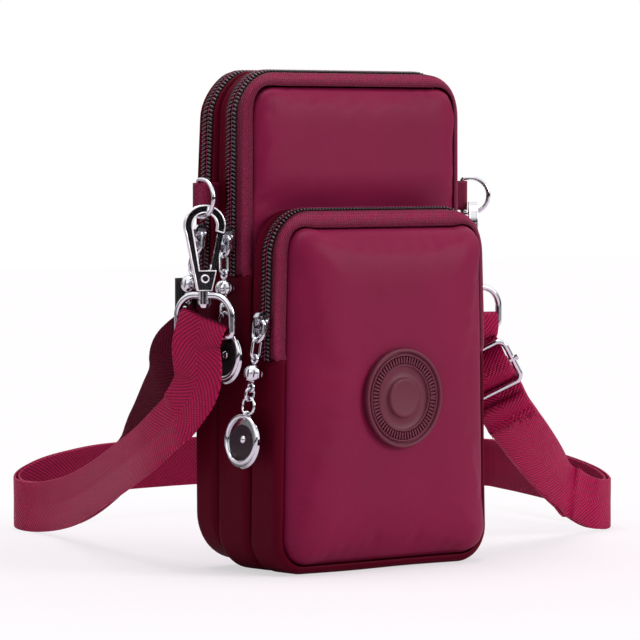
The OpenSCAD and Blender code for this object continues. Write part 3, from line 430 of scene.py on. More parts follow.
def tapered(box, points):
    """The pocket narrows evenly from the floor up, and the compartments behind it only near their tops."""
    points = np.array(points, float)
    if box["name"] == "pocket":
        true_width_z, below, above = 90, 0.00035, 0.0007
        drop = true_width_z - points[:, 2]
        points[:, 0] *= 1 + np.where(drop > 0, drop * below, drop * above)
    else:
        start_z, reach, narrowing, ease = 95, 75, 0.06, 1.4
        rise = np.clip((points[:, 2] - start_z) / reach, 0, 1) ** ease
        points[:, 0] *= 1 - narrowing * depth_share(points[:, 1]) * rise
    return points


def round_over(n, y):
    """How far a top corner is rounded inwards at an outline normal. It grows towards the back."""
    most = 1.0
    return -most * depth_share(y) * (2 * n[0] * n[1]) ** 2 if n[1] > 0 else 0.0


def seam_shift(box, n):
    """How far the front panel's top seam lies outside the plain outline, at an outline normal."""
    up = max(0.0, n[1])
    return box["corner"] * (2 * abs(n[0]) * up) ** 2 - box["drop"] * up ** 2


def half_loop(box, upper, step=2.0):
    """A compartment's outline from its left zip end to its right one: points, outward normals and lengths."""
    corner_steps, edge_steps = 13, 20
    turn = 1 if upper else -1
    edge, r = (box["high"], box["high_r"]) if upper else (box["low"], box["low_r"])
    corner_z = edge - turn * r
    straight = np.linspace(box["end"], corner_z, max(3, int(abs(corner_z - box["end"]) / step)))
    spots = [((-box["half"], z), (-1, 0)) for z in straight]
    for a in np.radians(np.linspace(0, 90, corner_steps)[1:]):
        n = (-math.cos(a), turn * math.sin(a))
        spots.append(((r - box["half"] + r * n[0], corner_z + r * n[1]), n))
    for x in np.linspace(r - box["half"], 0, edge_steps)[1:]:
        spots.append(((x, edge), (0, turn)))
    right = [((-p[0], p[1]), (-n[0], n[1])) for p, n in spots[-2::-1]]
    points = np.array([p for p, _ in spots + right])
    normals = np.array([n for _, n in spots + right])
    lengths = np.concatenate([[0], np.cumsum(np.linalg.norm(np.diff(points, axis=0), axis=1))])
    return points, normals, lengths


def loop_strip(name, box, upper, profile, material, wall=1.0, shape=None):
    """A strip of cloth along a compartment's outline. Its profile is a list of offset and depth."""
    points, normals, lengths = half_loop(box, upper)
    profile = np.array(profile, float)
    run = np.concatenate([[0], np.cumsum(np.linalg.norm(np.diff(profile, axis=0), axis=1))])
    verts, uvs = [], []
    total = lengths[-1]
    for p, n, s in zip(points, normals, lengths):
        offsets = profile[:, 0] if shape is None else shape(profile[:, 0], min(s, total - s), p, n)
        for (_, y), o, v in zip(profile, offsets, run):
            o += round_over(n, y)
            verts.append((p[0] + n[0] * o, y, p[1] + n[1] * o))
            uvs.append((s, v))
    faces = grid_faces(len(points), len(profile))
    a, b, c = (np.array(verts[faces[0][k]]) for k in range(3))
    if np.cross(b - a, c - b) @ np.array([-1.0, 0, 0]) < 0:
        faces = [f[::-1] for f in faces]
    return mesh_piece(name, tapered(box, verts), faces, material, uvs, wall=wall)


def seam_rise(d):
    """Offset of cloth that rises out of its seam groove in a round roll, at a share of the roll's depth."""
    return -mm("groove") + (SWELL + mm("groove")) * math.sqrt(max(0, 1 - (1 - d) ** 2))


def rolled_profile(rear, front):
    """A gusset's section: it rises out of one seam, runs on and rolls into the next."""
    share = (1 - np.cos(np.linspace(0, math.pi, 22))) / 2
    return [(seam_rise(min(abs(y - rear) / mm("roll"), abs(y - front) / mm("roll"), 1)), y)
            for y in rear + (front - rear) * share]


class POUCH_OT_gussets(bpy.types.Operator):
    """Lower gusset of each compartment, one rolled strip from zip end to zip end"""
    bl_idname = "pouch.gussets"
    bl_label = "Gussets"

    def execute(self, context):
        dip_depth, dip_reach, slack, wave_x, wave_z = 0.5, 1.5, 0.12, 9, 14

        def hem(offsets, end, p, n):
            """Tucks the strip's ends in and lets its flat cloth wave a little."""
            dip = max(0.0, 1 - end / dip_reach) * dip_depth
            wave = slack * math.sin(p[0] / wave_x + p[1] / wave_z)
            return offsets - dip - (slack + wave) * (offsets > 1)

        for box in COMPARTMENTS:
            piece = loop_strip(box["name"] + "_gusset_cloth", box, False,
                               rolled_profile(box["rear"], box["front"]), gusset_nylon(), shape=hem)
            place(piece, "body_fabric", box["name"] + "_gusset")
        return {"FINISHED"}


def tape_profiles(box):
    """Sections of the two tapes beside the coil, each with the raised welt at its seam."""
    gap_half, sunk_in, sunk_out, slope_w, welt_h, welt_w = 0.45, 0.15, 0.1, 0.8, 0.7, 0.85
    parts = []
    for seam, side in ((box["rear"], 1), (box["front"], -1)):
        inner = box["coil"] + side * gap_half
        edge = box["coil"] + side * box["coil_half"]
        width = min(mm("roll"), abs(seam - edge) * 0.6)
        section = [(SWELL - sunk_in, inner), (SWELL - sunk_out, edge - side * slope_w), (SWELL, edge)]
        for t in np.linspace(0.12, 1, 15):
            y = edge + (seam - edge) * t
            away = abs(seam - y)
            welt = welt_h * math.exp(-((away - width * 0.75) / welt_w) ** 2)
            section.append((seam_rise(min(away / width, 1)) + welt, y))
        parts.append(section if side < 0 else section[::-1])
    return parts


class POUCH_OT_tapes(bpy.types.Operator):
    """Zip tapes from the coil to each seam, with a welt where the tape is turned"""
    bl_idname = "pouch.tapes"
    bl_label = "Zip tapes"

    def execute(self, context):
        overlap, tuck_depth, tuck_reach = 2, 1.9, 3.5
        # Where the painted highlight sits on each tape's lip, and the painted shade of the flat and painted
        # light of the lip
        lip_at, lip_w, painted_flat_shade, painted_lip_light = 1.3, 0.8, 0.72, 0.6
        for box in COMPARTMENTS:
            longer = dict(box, end=box["end"] - overlap)
            for part, section in zip(("rear", "front"), tape_profiles(box)):
                # Behind each coil and on the rear zip the gusset's own cloth, with its painted shade, is
                # folded in
                material = tape_cloth() if part == "front" and box is not REAR else gusset_nylon()
                slope = np.zeros(len(section))
                if part == "front":
                    slope[2:] = np.linspace(0, 1, len(section) - 2) ** 1.6

                def tuck(offsets, end, p, n):
                    """Follows the front seam's top and dips below the gusset at each end."""
                    return offsets + seam_shift(box, n) * slope - tuck_depth * max(0.0, 1 - end / tuck_reach)

                piece = loop_strip(
                    "%s_tape_%s" % (box["name"], part), longer, True, section, material, wall=0.6, shape=tuck)
                # The lip at the seam is lighter by painted light, and the flat of the tape darker by painted
                # shade
                lip = np.array([math.exp(-((abs(box[part] - y) - lip_at) / lip_w) ** 2) for _, y in section])
                give_tone(piece, np.resize(painted_flat_shade + painted_lip_light * lip, len(piece.data.vertices)))
                place(piece, "zip_tape", *([box["name"] + "_zip_tapes"] if part == "front" else []))
        return {"FINISHED"}


def repeat_tree(name):
    """Geometry nodes that set one piece along a curve, its X along the curve and its Y towards the back."""
    tree = bpy.data.node_groups.new(name, "GeometryNodeTree")
    for label, kind, way in (
            ("Geometry", "NodeSocketGeometry", "INPUT"), ("Spacing", "NodeSocketFloat", "INPUT"),
            ("Piece", "NodeSocketObject", "INPUT"), ("Material", "NodeSocketMaterial", "INPUT"),
            ("Geometry", "NodeSocketGeometry", "OUTPUT")):
        tree.interface.new_socket(label, in_out=way, socket_type=kind)
    given = add(tree, "NodeGroupInput")
    spots = add(tree, "GeometryNodeResampleCurve", {
        "Curve": given.outputs["Geometry"], "Length": given.outputs["Spacing"]}, mode="LENGTH")
    tangent = add(tree, "GeometryNodeInputTangent")
    turn = add(tree, "FunctionNodeAxesToRotation", {0: tangent.outputs[0], 1: (0.0, 1.0, 0.0)},
               primary_axis="X", secondary_axis="Y")
    source = add(tree, "GeometryNodeObjectInfo", {"Object": given.outputs["Piece"]})
    copies = add(tree, "GeometryNodeInstanceOnPoints", {
        "Points": spots.outputs[0], "Instance": source.outputs["Geometry"], "Rotation": turn.outputs[0]})
    real = add(tree, "GeometryNodeRealizeInstances", {0: copies.outputs[0]})
    finish = add(tree, "GeometryNodeSetMaterial", {
        "Geometry": real.outputs[0], "Material": given.outputs["Material"]})
    add(tree, "NodeGroupOutput", {0: finish.outputs[0]})
    return tree


def repeated(name, line, spacing, piece, material):
    """The mesh of one small piece set along a line of points in millimetres."""
    tree = bpy.data.node_groups.get("set_along_curve") or repeat_tree("set_along_curve")
    curve = bpy.data.curves.new(name, "CURVE")
    curve.dimensions = "3D"
    spline = curve.splines.new("POLY")
    spline.points.add(len(line) - 1)
    for point, spot in zip(spline.points, line):
        point.co = (*(np.array(spot) * MM), 1)
    holder = bpy.data.objects.new(name + "_line", curve)
    bpy.context.scene.collection.objects.link(holder)
    modifier = holder.modifiers.new("repeat", "NODES")
    modifier.node_group = tree
    sockets = {item.name: item.identifier for item in tree.interface.items_tree if item.in_out == "INPUT"}
    modifier[sockets["Spacing"]] = spacing * MM
    modifier[sockets["Piece"]] = piece
    modifier[sockets["Material"]] = material
    made = bpy.data.meshes.new_from_object(holder.evaluated_get(bpy.context.evaluated_depsgraph_get()))
    bpy.data.objects.remove(holder)
    return made


def tube(line, radius, sides=6):
    """Points and outward faces of a closed tube along a line of points in millimetres."""
    line = np.array(line, float)
    tangents = np.gradient(line, axis=0)
    tangents /= np.linalg.norm(tangents, axis=1)[:, None]
    radii = np.broadcast_to(radius, len(line))
    points = []
    hint = np.array([1.0, 0.13, 0.07])
    for p, t, r in zip(line, tangents, radii):
        a = np.cross(t, hint)
        a /= np.linalg.norm(a)
        b = np.cross(t, a)
        points += [p + r * (math.cos(k) * a + math.sin(k) * b) for k in np.linspace(0, TURN, sides, False)]
    faces = grid_faces(len(line), sides, closed=True)
    faces.append(tuple(range(sides))[::-1])
    faces.append(tuple(len(points) - sides + i for i in range(sides)))
    return np.array(points), faces


def copied(name, line, spacing, points, faces, material):
    """The mesh of a small shape, given by its points and faces, set along a line."""
    shape = mesh_piece(name + "_shape", points, faces, material)
    fix_normals(shape)
    made = repeated(name, line, spacing, shape, material)
    bpy.data.objects.remove(shape)
    return made


def joined(name, meshes, material):
    """One object from several meshes that share a finish."""
    shape = bmesh.new()
    for mesh in meshes:
        shape.from_mesh(mesh)
    made = bpy.data.meshes.new(name)
    shape.to_mesh(made)
    shape.free()
    made.materials.append(material)
    made.polygons.foreach_set("use_smooth", [True] * len(made.polygons))
    made.polygons.foreach_set("material_index", [0] * len(made.polygons))
    piece = bpy.data.objects.new(name, made)
    bpy.context.scene.collection.objects.link(piece)
    return piece


class POUCH_OT_coils(bpy.types.Operator):
    """Meshed coil teeth in two rows and the stitches that hold them, made with geometry nodes"""
    bl_idname = "pouch.coils"
    bl_label = "Zip coils"

    def execute(self, context):
        pitch, wire = mm("tooth_pitch"), mm("tooth_wire")
        nylon_wire, thread, thread_r = coil_nylon(), sewing_thread(), 0.2
        half = POCKET["coil_half"]
        # Middle lines of a tooth and a stitch: along the coil, away from its middle and up from the tape
        tooth = [(0.5, 0.35, 0.3), (0.35, 0.8, 0.62), (0.0, 1.6, 0.68), (-0.35, half - 0.4, 0.55),
                 (-0.5, half - 0.1, 0.1)]
        tooth_radii = np.array([0.8, 1, 1, 1, 0.8]) * wire / 2
        stitch = [(-0.55, 0.62, 0.85), (0.0, 0.72, 1.02), (0.55, 0.82, 0.85)]
        for box in COMPARTMENTS:
            teeth, stitches = [], []
            points, normals, _ = half_loop(box, True, step=1.0)
            points = points + normals * np.array([[round_over(n, box["coil"])] for n in normals])
            points = tapered(box, np.insert(points, 1, box["coil"], axis=1))
            for side in (1, -1):
                # One row starts half a pitch above the other, so that they mesh
                start = points[0] + UP * pitch * (1 + side) / 4
                row = offset_line([start, *points[3:]], SWELL)
                verts, faces = tube([(x, side * y, z) for x, y, z in tooth], tooth_radii)
                teeth.append(copied(box["name"] + "_teeth", row, pitch, verts, faces, nylon_wire))
                verts, faces = tube([(x, side * y, z) for x, y, z in stitch], thread_r, sides=5)
                stitches.append(copied(box["name"] + "_stitches", row, pitch, verts, faces, thread))
            coil = joined(box["name"] + "_coil_teeth", teeth, nylon_wire)
            place(coil, "zip_coil", box["name"] + "_zip_coil")
            place(joined(box["name"] + "_coil_stitches", stitches, thread), "zip_tape")
        return {"FINISHED"}


def offset_line(line, distance):
    """A flat upright line moved outwards by a distance."""
    line = np.array(line, float)
    tangents = np.gradient(line, axis=0)
    tangents /= np.linalg.norm(tangents, axis=1)[:, None]
    outward = np.cross(tangents, np.array([0.0, 1.0, 0.0]))
    return line + distance * outward


def panel_grid(box, plane, front, columns, rows):
    """Even points over a panel's outline, with the shift that each takes from its top seam and corners."""
    half, mid, edge_hold = box["half"], (box["low"] + box["high"]) / 2, 6
    tall = (box["high"] - box["low"]) / 2
    spots, shifts = [], []
    for b in np.linspace(-1, 1, rows):
        for a in np.linspace(-1, 1, columns):
            m = max(abs(a), abs(b), 1e-9)
            q = np.array([a / m * half, b / m * tall])
            r = box["high_r"] if b > 0 else box["low_r"]
            c = np.array([half - r, tall - r])
            if abs(q[0]) > c[0] and abs(q[1]) > c[1]:
                v = (np.abs(q) - c) + 1e-9
                q = np.sign(q) * (c + v / np.linalg.norm(v) * r)
            n = np.array([0.0, 1.0]) if b == m else np.zeros(2)
            if b > 0 and abs(q[0]) > c[0] and q[1] > c[1]:
                n = (q - np.sign(q) * c) / r
            spots.append((q[0] * m, mid + q[1] * m))
            shift = seam_shift(box, n) if front else 0.0
            shifts.append(n * (shift + round_over(n, plane)) * m ** edge_hold)
    return np.array(spots), np.array(shifts), grid_faces(rows, columns)


def inset_distance(box, spots):
    """Distance of each point from the rounded outline, inwards."""
    half, mid = box["half"], (box["low"] + box["high"]) / 2
    tall = (box["high"] - box["low"]) / 2
    local = np.abs(spots - np.array([0, mid]))
    r = np.where(spots[:, 1] > mid, box["high_r"], box["low_r"])
    q = local - np.stack([half - r, tall - r], axis=1)
    outside = np.linalg.norm(np.maximum(q, 0), axis=1) + np.minimum(np.maximum(q[:, 0], q[:, 1]), 0) - r
    return np.maximum(-outside, 0)


def inflate(piece, columns, rows, pressure, cap):
    """Blows a sewn panel up as cloth held at its seam, and keeps each point within a cap of its start."""
    # The cloth runs on a copy ten times as large, because its solver is tuned for metres
    big, steps = 10, 18
    rest = np.array([v.co for v in piece.data.vertices])
    work = bpy.data.objects.new("cloth_work", piece.data.copy())
    work.data.vertices.foreach_set("co", (rest * big).ravel())
    bpy.context.scene.collection.objects.link(work)
    seam = work.vertex_groups.new(name="seam")
    index = np.arange(columns * rows).reshape(rows, columns)
    held = np.unique(np.concatenate([index[0], index[-1], index[:, 0], index[:, -1]]))
    seam.add([int(i) for i in held], 1.0, "REPLACE")
    cloth = work.modifiers.new("cloth", "CLOTH")
    cloth.settings.vertex_group_mass = "seam"
    cloth.settings.quality = 6
    cloth.settings.mass = 0.3
    cloth.settings.tension_stiffness = 25
    cloth.settings.compression_stiffness = 25
    cloth.settings.bending_stiffness = 2
    cloth.settings.shrink_min = -0.02
    cloth.settings.use_pressure = True
    cloth.settings.uniform_pressure_force = pressure
    cloth.settings.effector_weights.gravity = 0
    scene = bpy.context.scene
    for step in range(1, steps + 1):
        scene.frame_set(step)
    swollen = work.evaluated_get(bpy.context.evaluated_depsgraph_get())
    moved = np.array([v.co for v in swollen.data.vertices]) / big
    scene.frame_set(1)
    bpy.data.objects.remove(work)
    change = moved - rest
    length = np.linalg.norm(change, axis=1)
    change *= np.minimum(1, cap * MM / np.maximum(length, 1e-9))[:, None]
    piece.data.vertices.foreach_set("co", (rest + change).ravel())
    piece.data.update()


def panel(name, box, plane, side, height, material, columns, rows, cap=0.0, pressure=0.0):
    """A sewn panel that rises out of its seam groove. Its height depends on inset distance and place."""
    sink, sink_w, thinner = 0.8, 0.8, 0.3
    spots, shifts, faces = panel_grid(box, plane, side < 0, columns, rows)
    distance = inset_distance(box, spots)
    shrink = 1 - mm("groove") / box["half"]
    mid = (box["low"] + box["high"]) / 2
    rise = np.array([height(d, p) for d, p in zip(distance, spots)])
    depth = plane + side * (rise - sink * np.exp(-distance / sink_w))
    moved = spots + shifts
    points = np.stack([moved[:, 0] * shrink, depth, mid + (moved[:, 1] - mid) * shrink], axis=1)
    if side > 0:
        faces = [f[::-1] for f in faces]
    piece = mesh_piece(name, tapered(box, points), faces, material, spots)
    if pressure:
        inflate(piece, columns, rows, pressure, cap)
    solid = piece.modifiers.new("wall", "SOLIDIFY")
    solid.thickness = (FABRIC_T - thinner) * MM
    solid.offset = -1
    return piece


class POUCH_OT_panels(bpy.types.Operator):
    """The padded panels: puffed pocket front, main front, divider and back"""
    bl_idname = "pouch.panels"
    bl_label = "Panels"

    def execute(self, context):
        cloth = nylon("calendered_nylon_panel", tuple(colours().nylon))
        pocket_puff, back_puff = PUFF - 0.35, 1.0
        pocket_gap, pocket_fade = 2, 14

        def dome(d, reach, power, flatness):
            """Share of the full height at a distance from the seam."""
            return (1 - (1 - min(d / reach, 1)) ** power) ** flatness

        def pocket_height(d, p):
            """The pocket is stuffed full."""
            return pocket_puff * dome(d, 26, 2.3, 0.62)

        def main_height(d, p):
            """The main panel swells only above the pocket, which holds it flat below."""
            clear = min(max((p[1] - POCKET["high"] - pocket_gap) / pocket_fade, 0), 1)
            return mm("main_puff") * dome(d, 16, 2.2, 0.6) * clear * clear * (3 - 2 * clear)

        def back_height(d, p):
            """The back is thinly padded."""
            return back_puff * dome(d, 20, 2, 0.6)

        front = panel("pocket_front_padding", POCKET, POCKET_Y, -1, pocket_height, cloth, 57, 77, 0.6, 2.4)
        place(front, "body_fabric", "pocket_front_panel")
        main = panel("main_front_padding", MIDDLE, FRONT_Y, -1, main_height, cloth, 57, 99, 0.45, 1.6)
        place(main, "body_fabric", "main_front_panel")
        back = panel("back_padding", REAR, BACK_Y, 1, back_height, cloth, 41, 71)
        place(back, "body_fabric", "back_panel")
        divider = panel("divider_padding", REAR, DIVIDER_Y, -1, lambda d, p: 0.0, cloth, 31, 51)
        place(divider, "body_fabric", "compartment_divider")
        return {"FINISHED"}


class POUCH_OT_linings(bpy.types.Operator):
    """Loose inner bags of thin polyester"""
    bl_idname = "pouch.linings"
    bl_label = "Linings"

    def execute(self, context):
        material = nylon("polyester_lining_cloth", tuple(colours().lining))
        edge, gap, sag, lining_t = FABRIC_T + 0.6, FABRIC_T + 0.3, 0.5, 0.3
        for box in COMPARTMENTS:
            inner = dict(box, low=box["low"] + edge)
            for key in ("half", "high", "low_r", "high_r"):
                inner[key] = box[key] - edge
            rear, front = box["rear"] - gap, box["front"] + gap
            section = [(-sag * math.sin(math.pi * t), rear + (front - rear) * t)
                       for t in np.linspace(0, 1, 9)]
            wall = loop_strip(box["name"] + "_lining_wall", inner, False, section, material, wall=lining_t)
            place(wall, "lining", box["name"] + "_lining")
        return {"FINISHED"}


def ribbon(name, path, low, high, material, wall, rows=9):
    """An upright ribbon along a plan of X and Y, in millimetres."""
    path = np.array(path, float)
    run = np.concatenate([[0], np.cumsum(np.linalg.norm(np.diff(path, axis=0), axis=1))])
    points, uvs = [], []
    for (x, y), s in zip(path, run):
        for z in np.linspace(low, high, rows):
            points.append((x, y, z))
            uvs.append((s, z))
    return mesh_piece(name, points, grid_faces(len(path), rows), material, uvs, wall=wall)


class POUCH_OT_tabs(bpy.types.Operator):
    """Folded tape tabs round the bars of the two rings"""
    bl_idname = "pouch.tabs"
    bl_label = "Tabs"

    def execute(self, context):
        # Radius of the fold and its outside, half gap at the seam, and the tape's thickness
        r, outside, seam_gap, tape_t = 1.5, 1.95, 0.5, 0.9
        seam = np.array([REAR["half"] - 0.5, DIVIDER_Y])
        for side, name in ((-1, "left"), (1, "right")):
            low, high = box_mm(name + "_tab")
            bar = np.array([abs(high[0] if side > 0 else low[0]) - outside, low[1] + outside])
            away = unit(bar - seam)
            out = np.array([-away[1], away[0]])
            rear_leg = [seam + out * seam_gap + (bar - seam + out * (r - seam_gap)) * t
                        for t in np.linspace(0, 1, 9)]
            turn = [bar + r * (math.cos(a) * out + math.sin(a) * away)
                    for a in np.linspace(0, math.pi, 13)[1:-1]]
            front_leg = [seam - out * seam_gap + (bar - seam - out * (r - seam_gap)) * t
                         for t in np.linspace(1, 0, 9)]
            path = [(side * x, y) for x, y in rear_leg + turn + front_leg]
            piece = ribbon(name + "_tab_loop", path, low[2], high[2], tape_cloth(), tape_t, rows=11)
            if side > 0:
                piece.data.flip_normals()
            piece.modifiers["wall"].offset = 0
            give_tone(piece, np.ones(len(piece.data.vertices)))
            place(piece, "zip_tape", name + "_tab")
        return {"FINISHED"}


class POUCH_OT_arm_band(bpy.types.Operator):
    """Ribbed elastic across the back, folded at its left end"""
    bl_idname = "pouch.arm_band"
    bl_label = "Arm band"

    def execute(self, context):
        low, high = box_mm("arm_band")
        t, clear, ramp, sewn = 1.4, 0.1, 16, 22
        outer = high[1] - t / 2 - clear
        near = BACK_Y + 1.0 + t / 2
        r = (outer - near) / 2
        left = low[0] + r + t / 2
        far = high[0] - sewn
        path = [(x, near) for x in np.linspace(-REAR["half"] * 0.75, left, 12)]
        path += [(left - r * math.sin(a), near + r - r * math.cos(a))
                 for a in np.linspace(0, math.pi, 13)[1:]]
        path += [(x, outer) for x in np.linspace(left, far, 40)[1:]]
        ease = np.linspace(0, 1, 12)[1:]
        path += [(far + ramp * e, outer + (near - outer) * (e * e * (3 - 2 * e))) for e in ease]
        path += [(x, near) for x in np.linspace(far + ramp + 1, high[0] - 0.5, 4)]
        piece = ribbon("arm_band_elastic", path, low[2], high[2], elastic_cloth(), t)
        piece.modifiers["wall"].offset = 0
        place(piece, "elastic", "arm_band")
        return {"FINISHED"}


def unit(v):
    """The direction of a vector."""
    return v / np.linalg.norm(v)


def spline(a, b, c, d, t):
    """A point between b and c on a smooth curve through four points."""
    return (2 * b + (c - a) * t + (2 * a - 5 * b + 4 * c - d) * t * t + (3 * b - a - 3 * c + d) * t ** 3) / 2


def smooth(points, steps):
    """Points on a smooth curve through the given ones, apart from the first and last."""
    points = [np.array(p, float) for p in points]
    return [spline(*points[i - 1:i + 3], k / steps) for i in range(1, len(points) - 2) for k in range(steps)]


# Shares of the strap's spread, reach and fall, with the share that the webbing has turned on edge
OUTER_SHARES = [
    [-0.008, -0.008, 1, 0], [-0.011, 0.006, 0.91, 0.1], [-0.011, 0.002, 0.745, 0.4],
    [-0.015, 0.037, 0.615, 0.9], [-0.016, 0.071, 0.545, 1], [-0.003, 0.171, 0.41, 1], [0.043, 0.329, 0.28, 1],
    [0.095, 0.493, 0.162, 1], [0.146, 0.658, 0.065, 1], [0.18, 0.802, 0.008, 1],
    [0.192, 0.893, 0.004, 1], [0.219, 0.937, 0.03, 1], [0.268, 0.949, 0.087, 1],
    [0.328, 0.959, 0.12, 1], [0.409, 0.984, 0.137, 1], [0.527, 1, 0.14, 1],
    [0.651, 0.995, 0.138, 1], [0.8, 0.922, 0.125, 1], [0.933, 0.812, 0.117, 1],
    [1, 0.697, 0.114, 1], [0.984, 0.605, 0.115, 1], [0.939, 0.434, 0.108, 1],
    [0.918, 0.331, 0.092, 1], [0.909, 0.235, 0.048, 1], [0.886, 0.168, 0.01, 1],
    [0.848, 0.143, 0.012, 1], [0.808, 0.135, 0.047, 1], [0.722, 0.103, 0.178, 1],
    [0.649, 0.068, 0.322, 1]]
INNER_SHARES = [
    [0.006, 0.014, 1, 0], [-0.004, 0.045, 0.92, 0.3], [-0.008, 0.085, 0.85, 0.8], [-0.006, 0.119, 0.74, 1],
    [0.004, 0.156, 0.645, 1], [0.019, 0.215, 0.506, 1], [0.03, 0.26, 0.407, 1], [0.05, 0.323, 0.305, 1]]
GLIDE_TURN = np.radians([17, -26.5, -45.5])
STRAP_W = 20.0
STRAP_T = 1.3
EYE_WIRE = 2.4
GLIDE_HALF_L = 8.8


def glide_axes():
    """Directions along the adjuster's bars, through it and down it, from its turn in the CAD part."""
    rx, ry, rz = GLIDE_TURN
    along = np.array([math.cos(rz) * math.cos(ry), math.sin(rz) * math.cos(ry), -math.sin(ry)])
    through = np.array([
        math.cos(rz) * math.sin(ry) * math.sin(rx) - math.sin(rz) * math.cos(rx),
        math.sin(rz) * math.sin(ry) * math.sin(rx) + math.cos(rz) * math.cos(rx),
        math.cos(ry) * math.sin(rx)])
    return along, through, np.cross(along, through)


def strap_path():
    """The webbing's middle line and the direction of its width, from the cut end to the right eye."""
    gap, spread, reach, steps = 0.3, 266.0, 208.0, 3
    fold_r = (EYE_WIRE + STRAP_T) / 2 + gap
    layer = STRAP_T + 2 * gap
    pins = {}
    for side in ("left", "right"):
        low, high = box_mm(side + "_swivel_pin")
        eye_low, _ = box_mm(side + "_strap_eye")
        pins[side] = np.array([(low[0] + high[0]) / 2, (low[1] + high[1]) / 2, eye_low[2] + EYE_WIRE / 2])
    # The left eye's bar turns towards the viewer and its webbing tips with it. The right one hangs level
    turn, tip = math.radians(-70), math.radians(20)
    left_bar = np.array([-math.cos(turn), -math.sin(turn), 0])
    left_side = np.cross(UP, left_bar)
    left_w = math.cos(tip) * left_bar + math.sin(tip) * UP
    left_up = np.cross(left_w, left_side)
    left_fold = pins["left"] + UP * (STRAP_W / 2 * math.sin(tip) + 3 * gap)
    turn = math.radians(-10)
    right_bar = np.array([math.cos(turn), math.sin(turn), 0])
    right_side = np.cross(right_bar, UP)
    right_fold = pins["right"] + UP * (STRAP_T + EYE_WIRE / 2)
    low, high = box_mm("strap_adjuster")
    glide_at = (low + high) / 2
    glide_x, glide_y, glide_z = glide_axes()
    laid_z = STRAP_W / 2
    fall = left_fold[2] - laid_z

    def in_glide(s, n):
        """A point at a share of the adjuster's half length and a height over it."""
        return glide_at - s * GLIDE_HALF_L * glide_z - n * glide_y

    def laid(p):
        """A point of the route in millimetres, with its share of turning on edge."""
        return np.array([
            pins["left"][0] + p[0] * spread, pins["left"][1] + p[1] * reach, laid_z + p[2] * fall, p[3]])

    def hint(share):
        """The width's direction where the webbing has turned on edge by a share."""
        return (1 - share) * left_w + share * UP

    # The outer run comes first. The inner one lies a layer inside it, and leaves it before the left fold
    outer = smooth([laid(p) for p in OUTER_SHARES], steps)
    spots = np.array([p[:3] for p in outer])
    joint = []
    for i in range(6 * steps, len(spots)):
        t = unit(spots[min(i + 1, len(spots) - 1)] - spots[i - 1])
        w = hint(outer[i][3])
        joint.append(spots[i] + layer * np.cross(t, unit(w - (w @ t) * t)))
    tail = [np.array([*joint[i * 3], 1]) for i in range(3)]
    inner = smooth([laid(p) for p in INNER_SHARES] + tail, steps)
    # From the cut end round the adjuster's bar, back to the left eye, round it and out again to the adjuster
    path = [(in_glide(*p), glide_x) for p in (
        (2.7, -2.9), (1.9, -3.4), (1, -3.85), (0.77, -3.75), (0.45, -1.5), (0.12, 1.95))]
    for a in np.radians(np.arange(60, -61, -30)):
        path.append((in_glide(-fold_r * math.cos(a) / GLIDE_HALF_L, fold_r * math.sin(a)), glide_x))
    path += [(in_glide(*p), glide_x) for p in (
        (0.22, -2.6), (0.57, -4.6), (0.8, -5.5), (1.03, -5.6), (1.6, -5.1), (2.2, -4.6))]
    path += [(p, UP) for p in joint[::-1]]
    path += [(p[:3], hint(p[3])) for p in inner[::-1]]
    for a in np.radians(np.arange(180, -1, -30)):
        path.append((left_fold + fold_r * (math.cos(a) * left_side + math.sin(a) * left_up), left_w))
    path += [(p[:3], hint(p[3])) for p in outer]
    path += [(in_glide(*p), glide_x) for p in (
        (2.2, -1.5), (1.6, -1.75), (1.03, -2.05), (0.85, -2.05), (0.17, 4), (-0.17, 4), (-0.85, -2.05),
        (-1.03, -2.05), (-1.4, -2))]
    # Over the right eye's bar and down behind the webbing's own run
    path.append((right_fold + fold_r * (right_side - 2.1 * UP), right_bar))
    for a in np.radians(np.arange(0, 181, 30)):
        path.append((right_fold + fold_r * (math.cos(a) * right_side + math.sin(a) * UP), right_bar))
    for drop in (2, 3.7):
        path.append((right_fold - fold_r * ((1 + drop / 12) * right_side + drop * UP), right_bar))
    return path


def fine_path(path, spacing):
    """Even stations on a smooth line through the path, with tangent, width and thickness directions."""
    fine = 0.4
    points = np.array([p for p, _ in path])
    hints = np.array([unit(h) for _, h in path])
    p, h = (np.vstack([2 * a[0] - a[1], a, 2 * a[-1] - a[-2]]) for a in (points, hints))
    dense, dense_h = [], []
    for i in range(1, len(p) - 2):
        count = max(2, int(np.linalg.norm(p[i + 1] - p[i]) / fine))
        for t in np.linspace(0, 1, count, False):
            dense.append(spline(p[i - 1], p[i], p[i + 1], p[i + 2], t))
            dense_h.append(h[i] * (1 - t) + h[i + 1] * t)
    dense.append(p[-2])
    dense_h.append(h[-2])
    dense, dense_h = np.array(dense), np.array(dense_h)
    run = np.concatenate([[0], np.cumsum(np.linalg.norm(np.diff(dense, axis=0), axis=1))])
    stations = np.linspace(0, run[-1], int(run[-1] / spacing))
    spots = np.stack([np.interp(stations, run, dense[:, k]) for k in range(3)], axis=1)
    widths = np.stack([np.interp(stations, run, dense_h[:, k]) for k in range(3)], axis=1)
    tangents = np.gradient(spots, axis=0)
    tangents /= np.linalg.norm(tangents, axis=1)[:, None]
    widths -= (widths * tangents).sum(1)[:, None] * tangents
    widths /= np.linalg.norm(widths, axis=1)[:, None]
    return stations, spots, tangents, widths, np.cross(tangents, widths)


def strap_tone(stations, spots):
    """Darkness of the inner layer that lies in the shade behind the left fold."""
    deepest, dark_run, fade_run = 0.2, 75, 70
    fold = int(np.argmax(spots[:, 2] - 0.6 * spots[:, 0]))
    behind = stations[fold] - stations
    light = deepest + (1 - deepest) * np.clip((behind - dark_run) / fade_run, 0, 1)
    return np.where(behind > 0, light, 1.0)


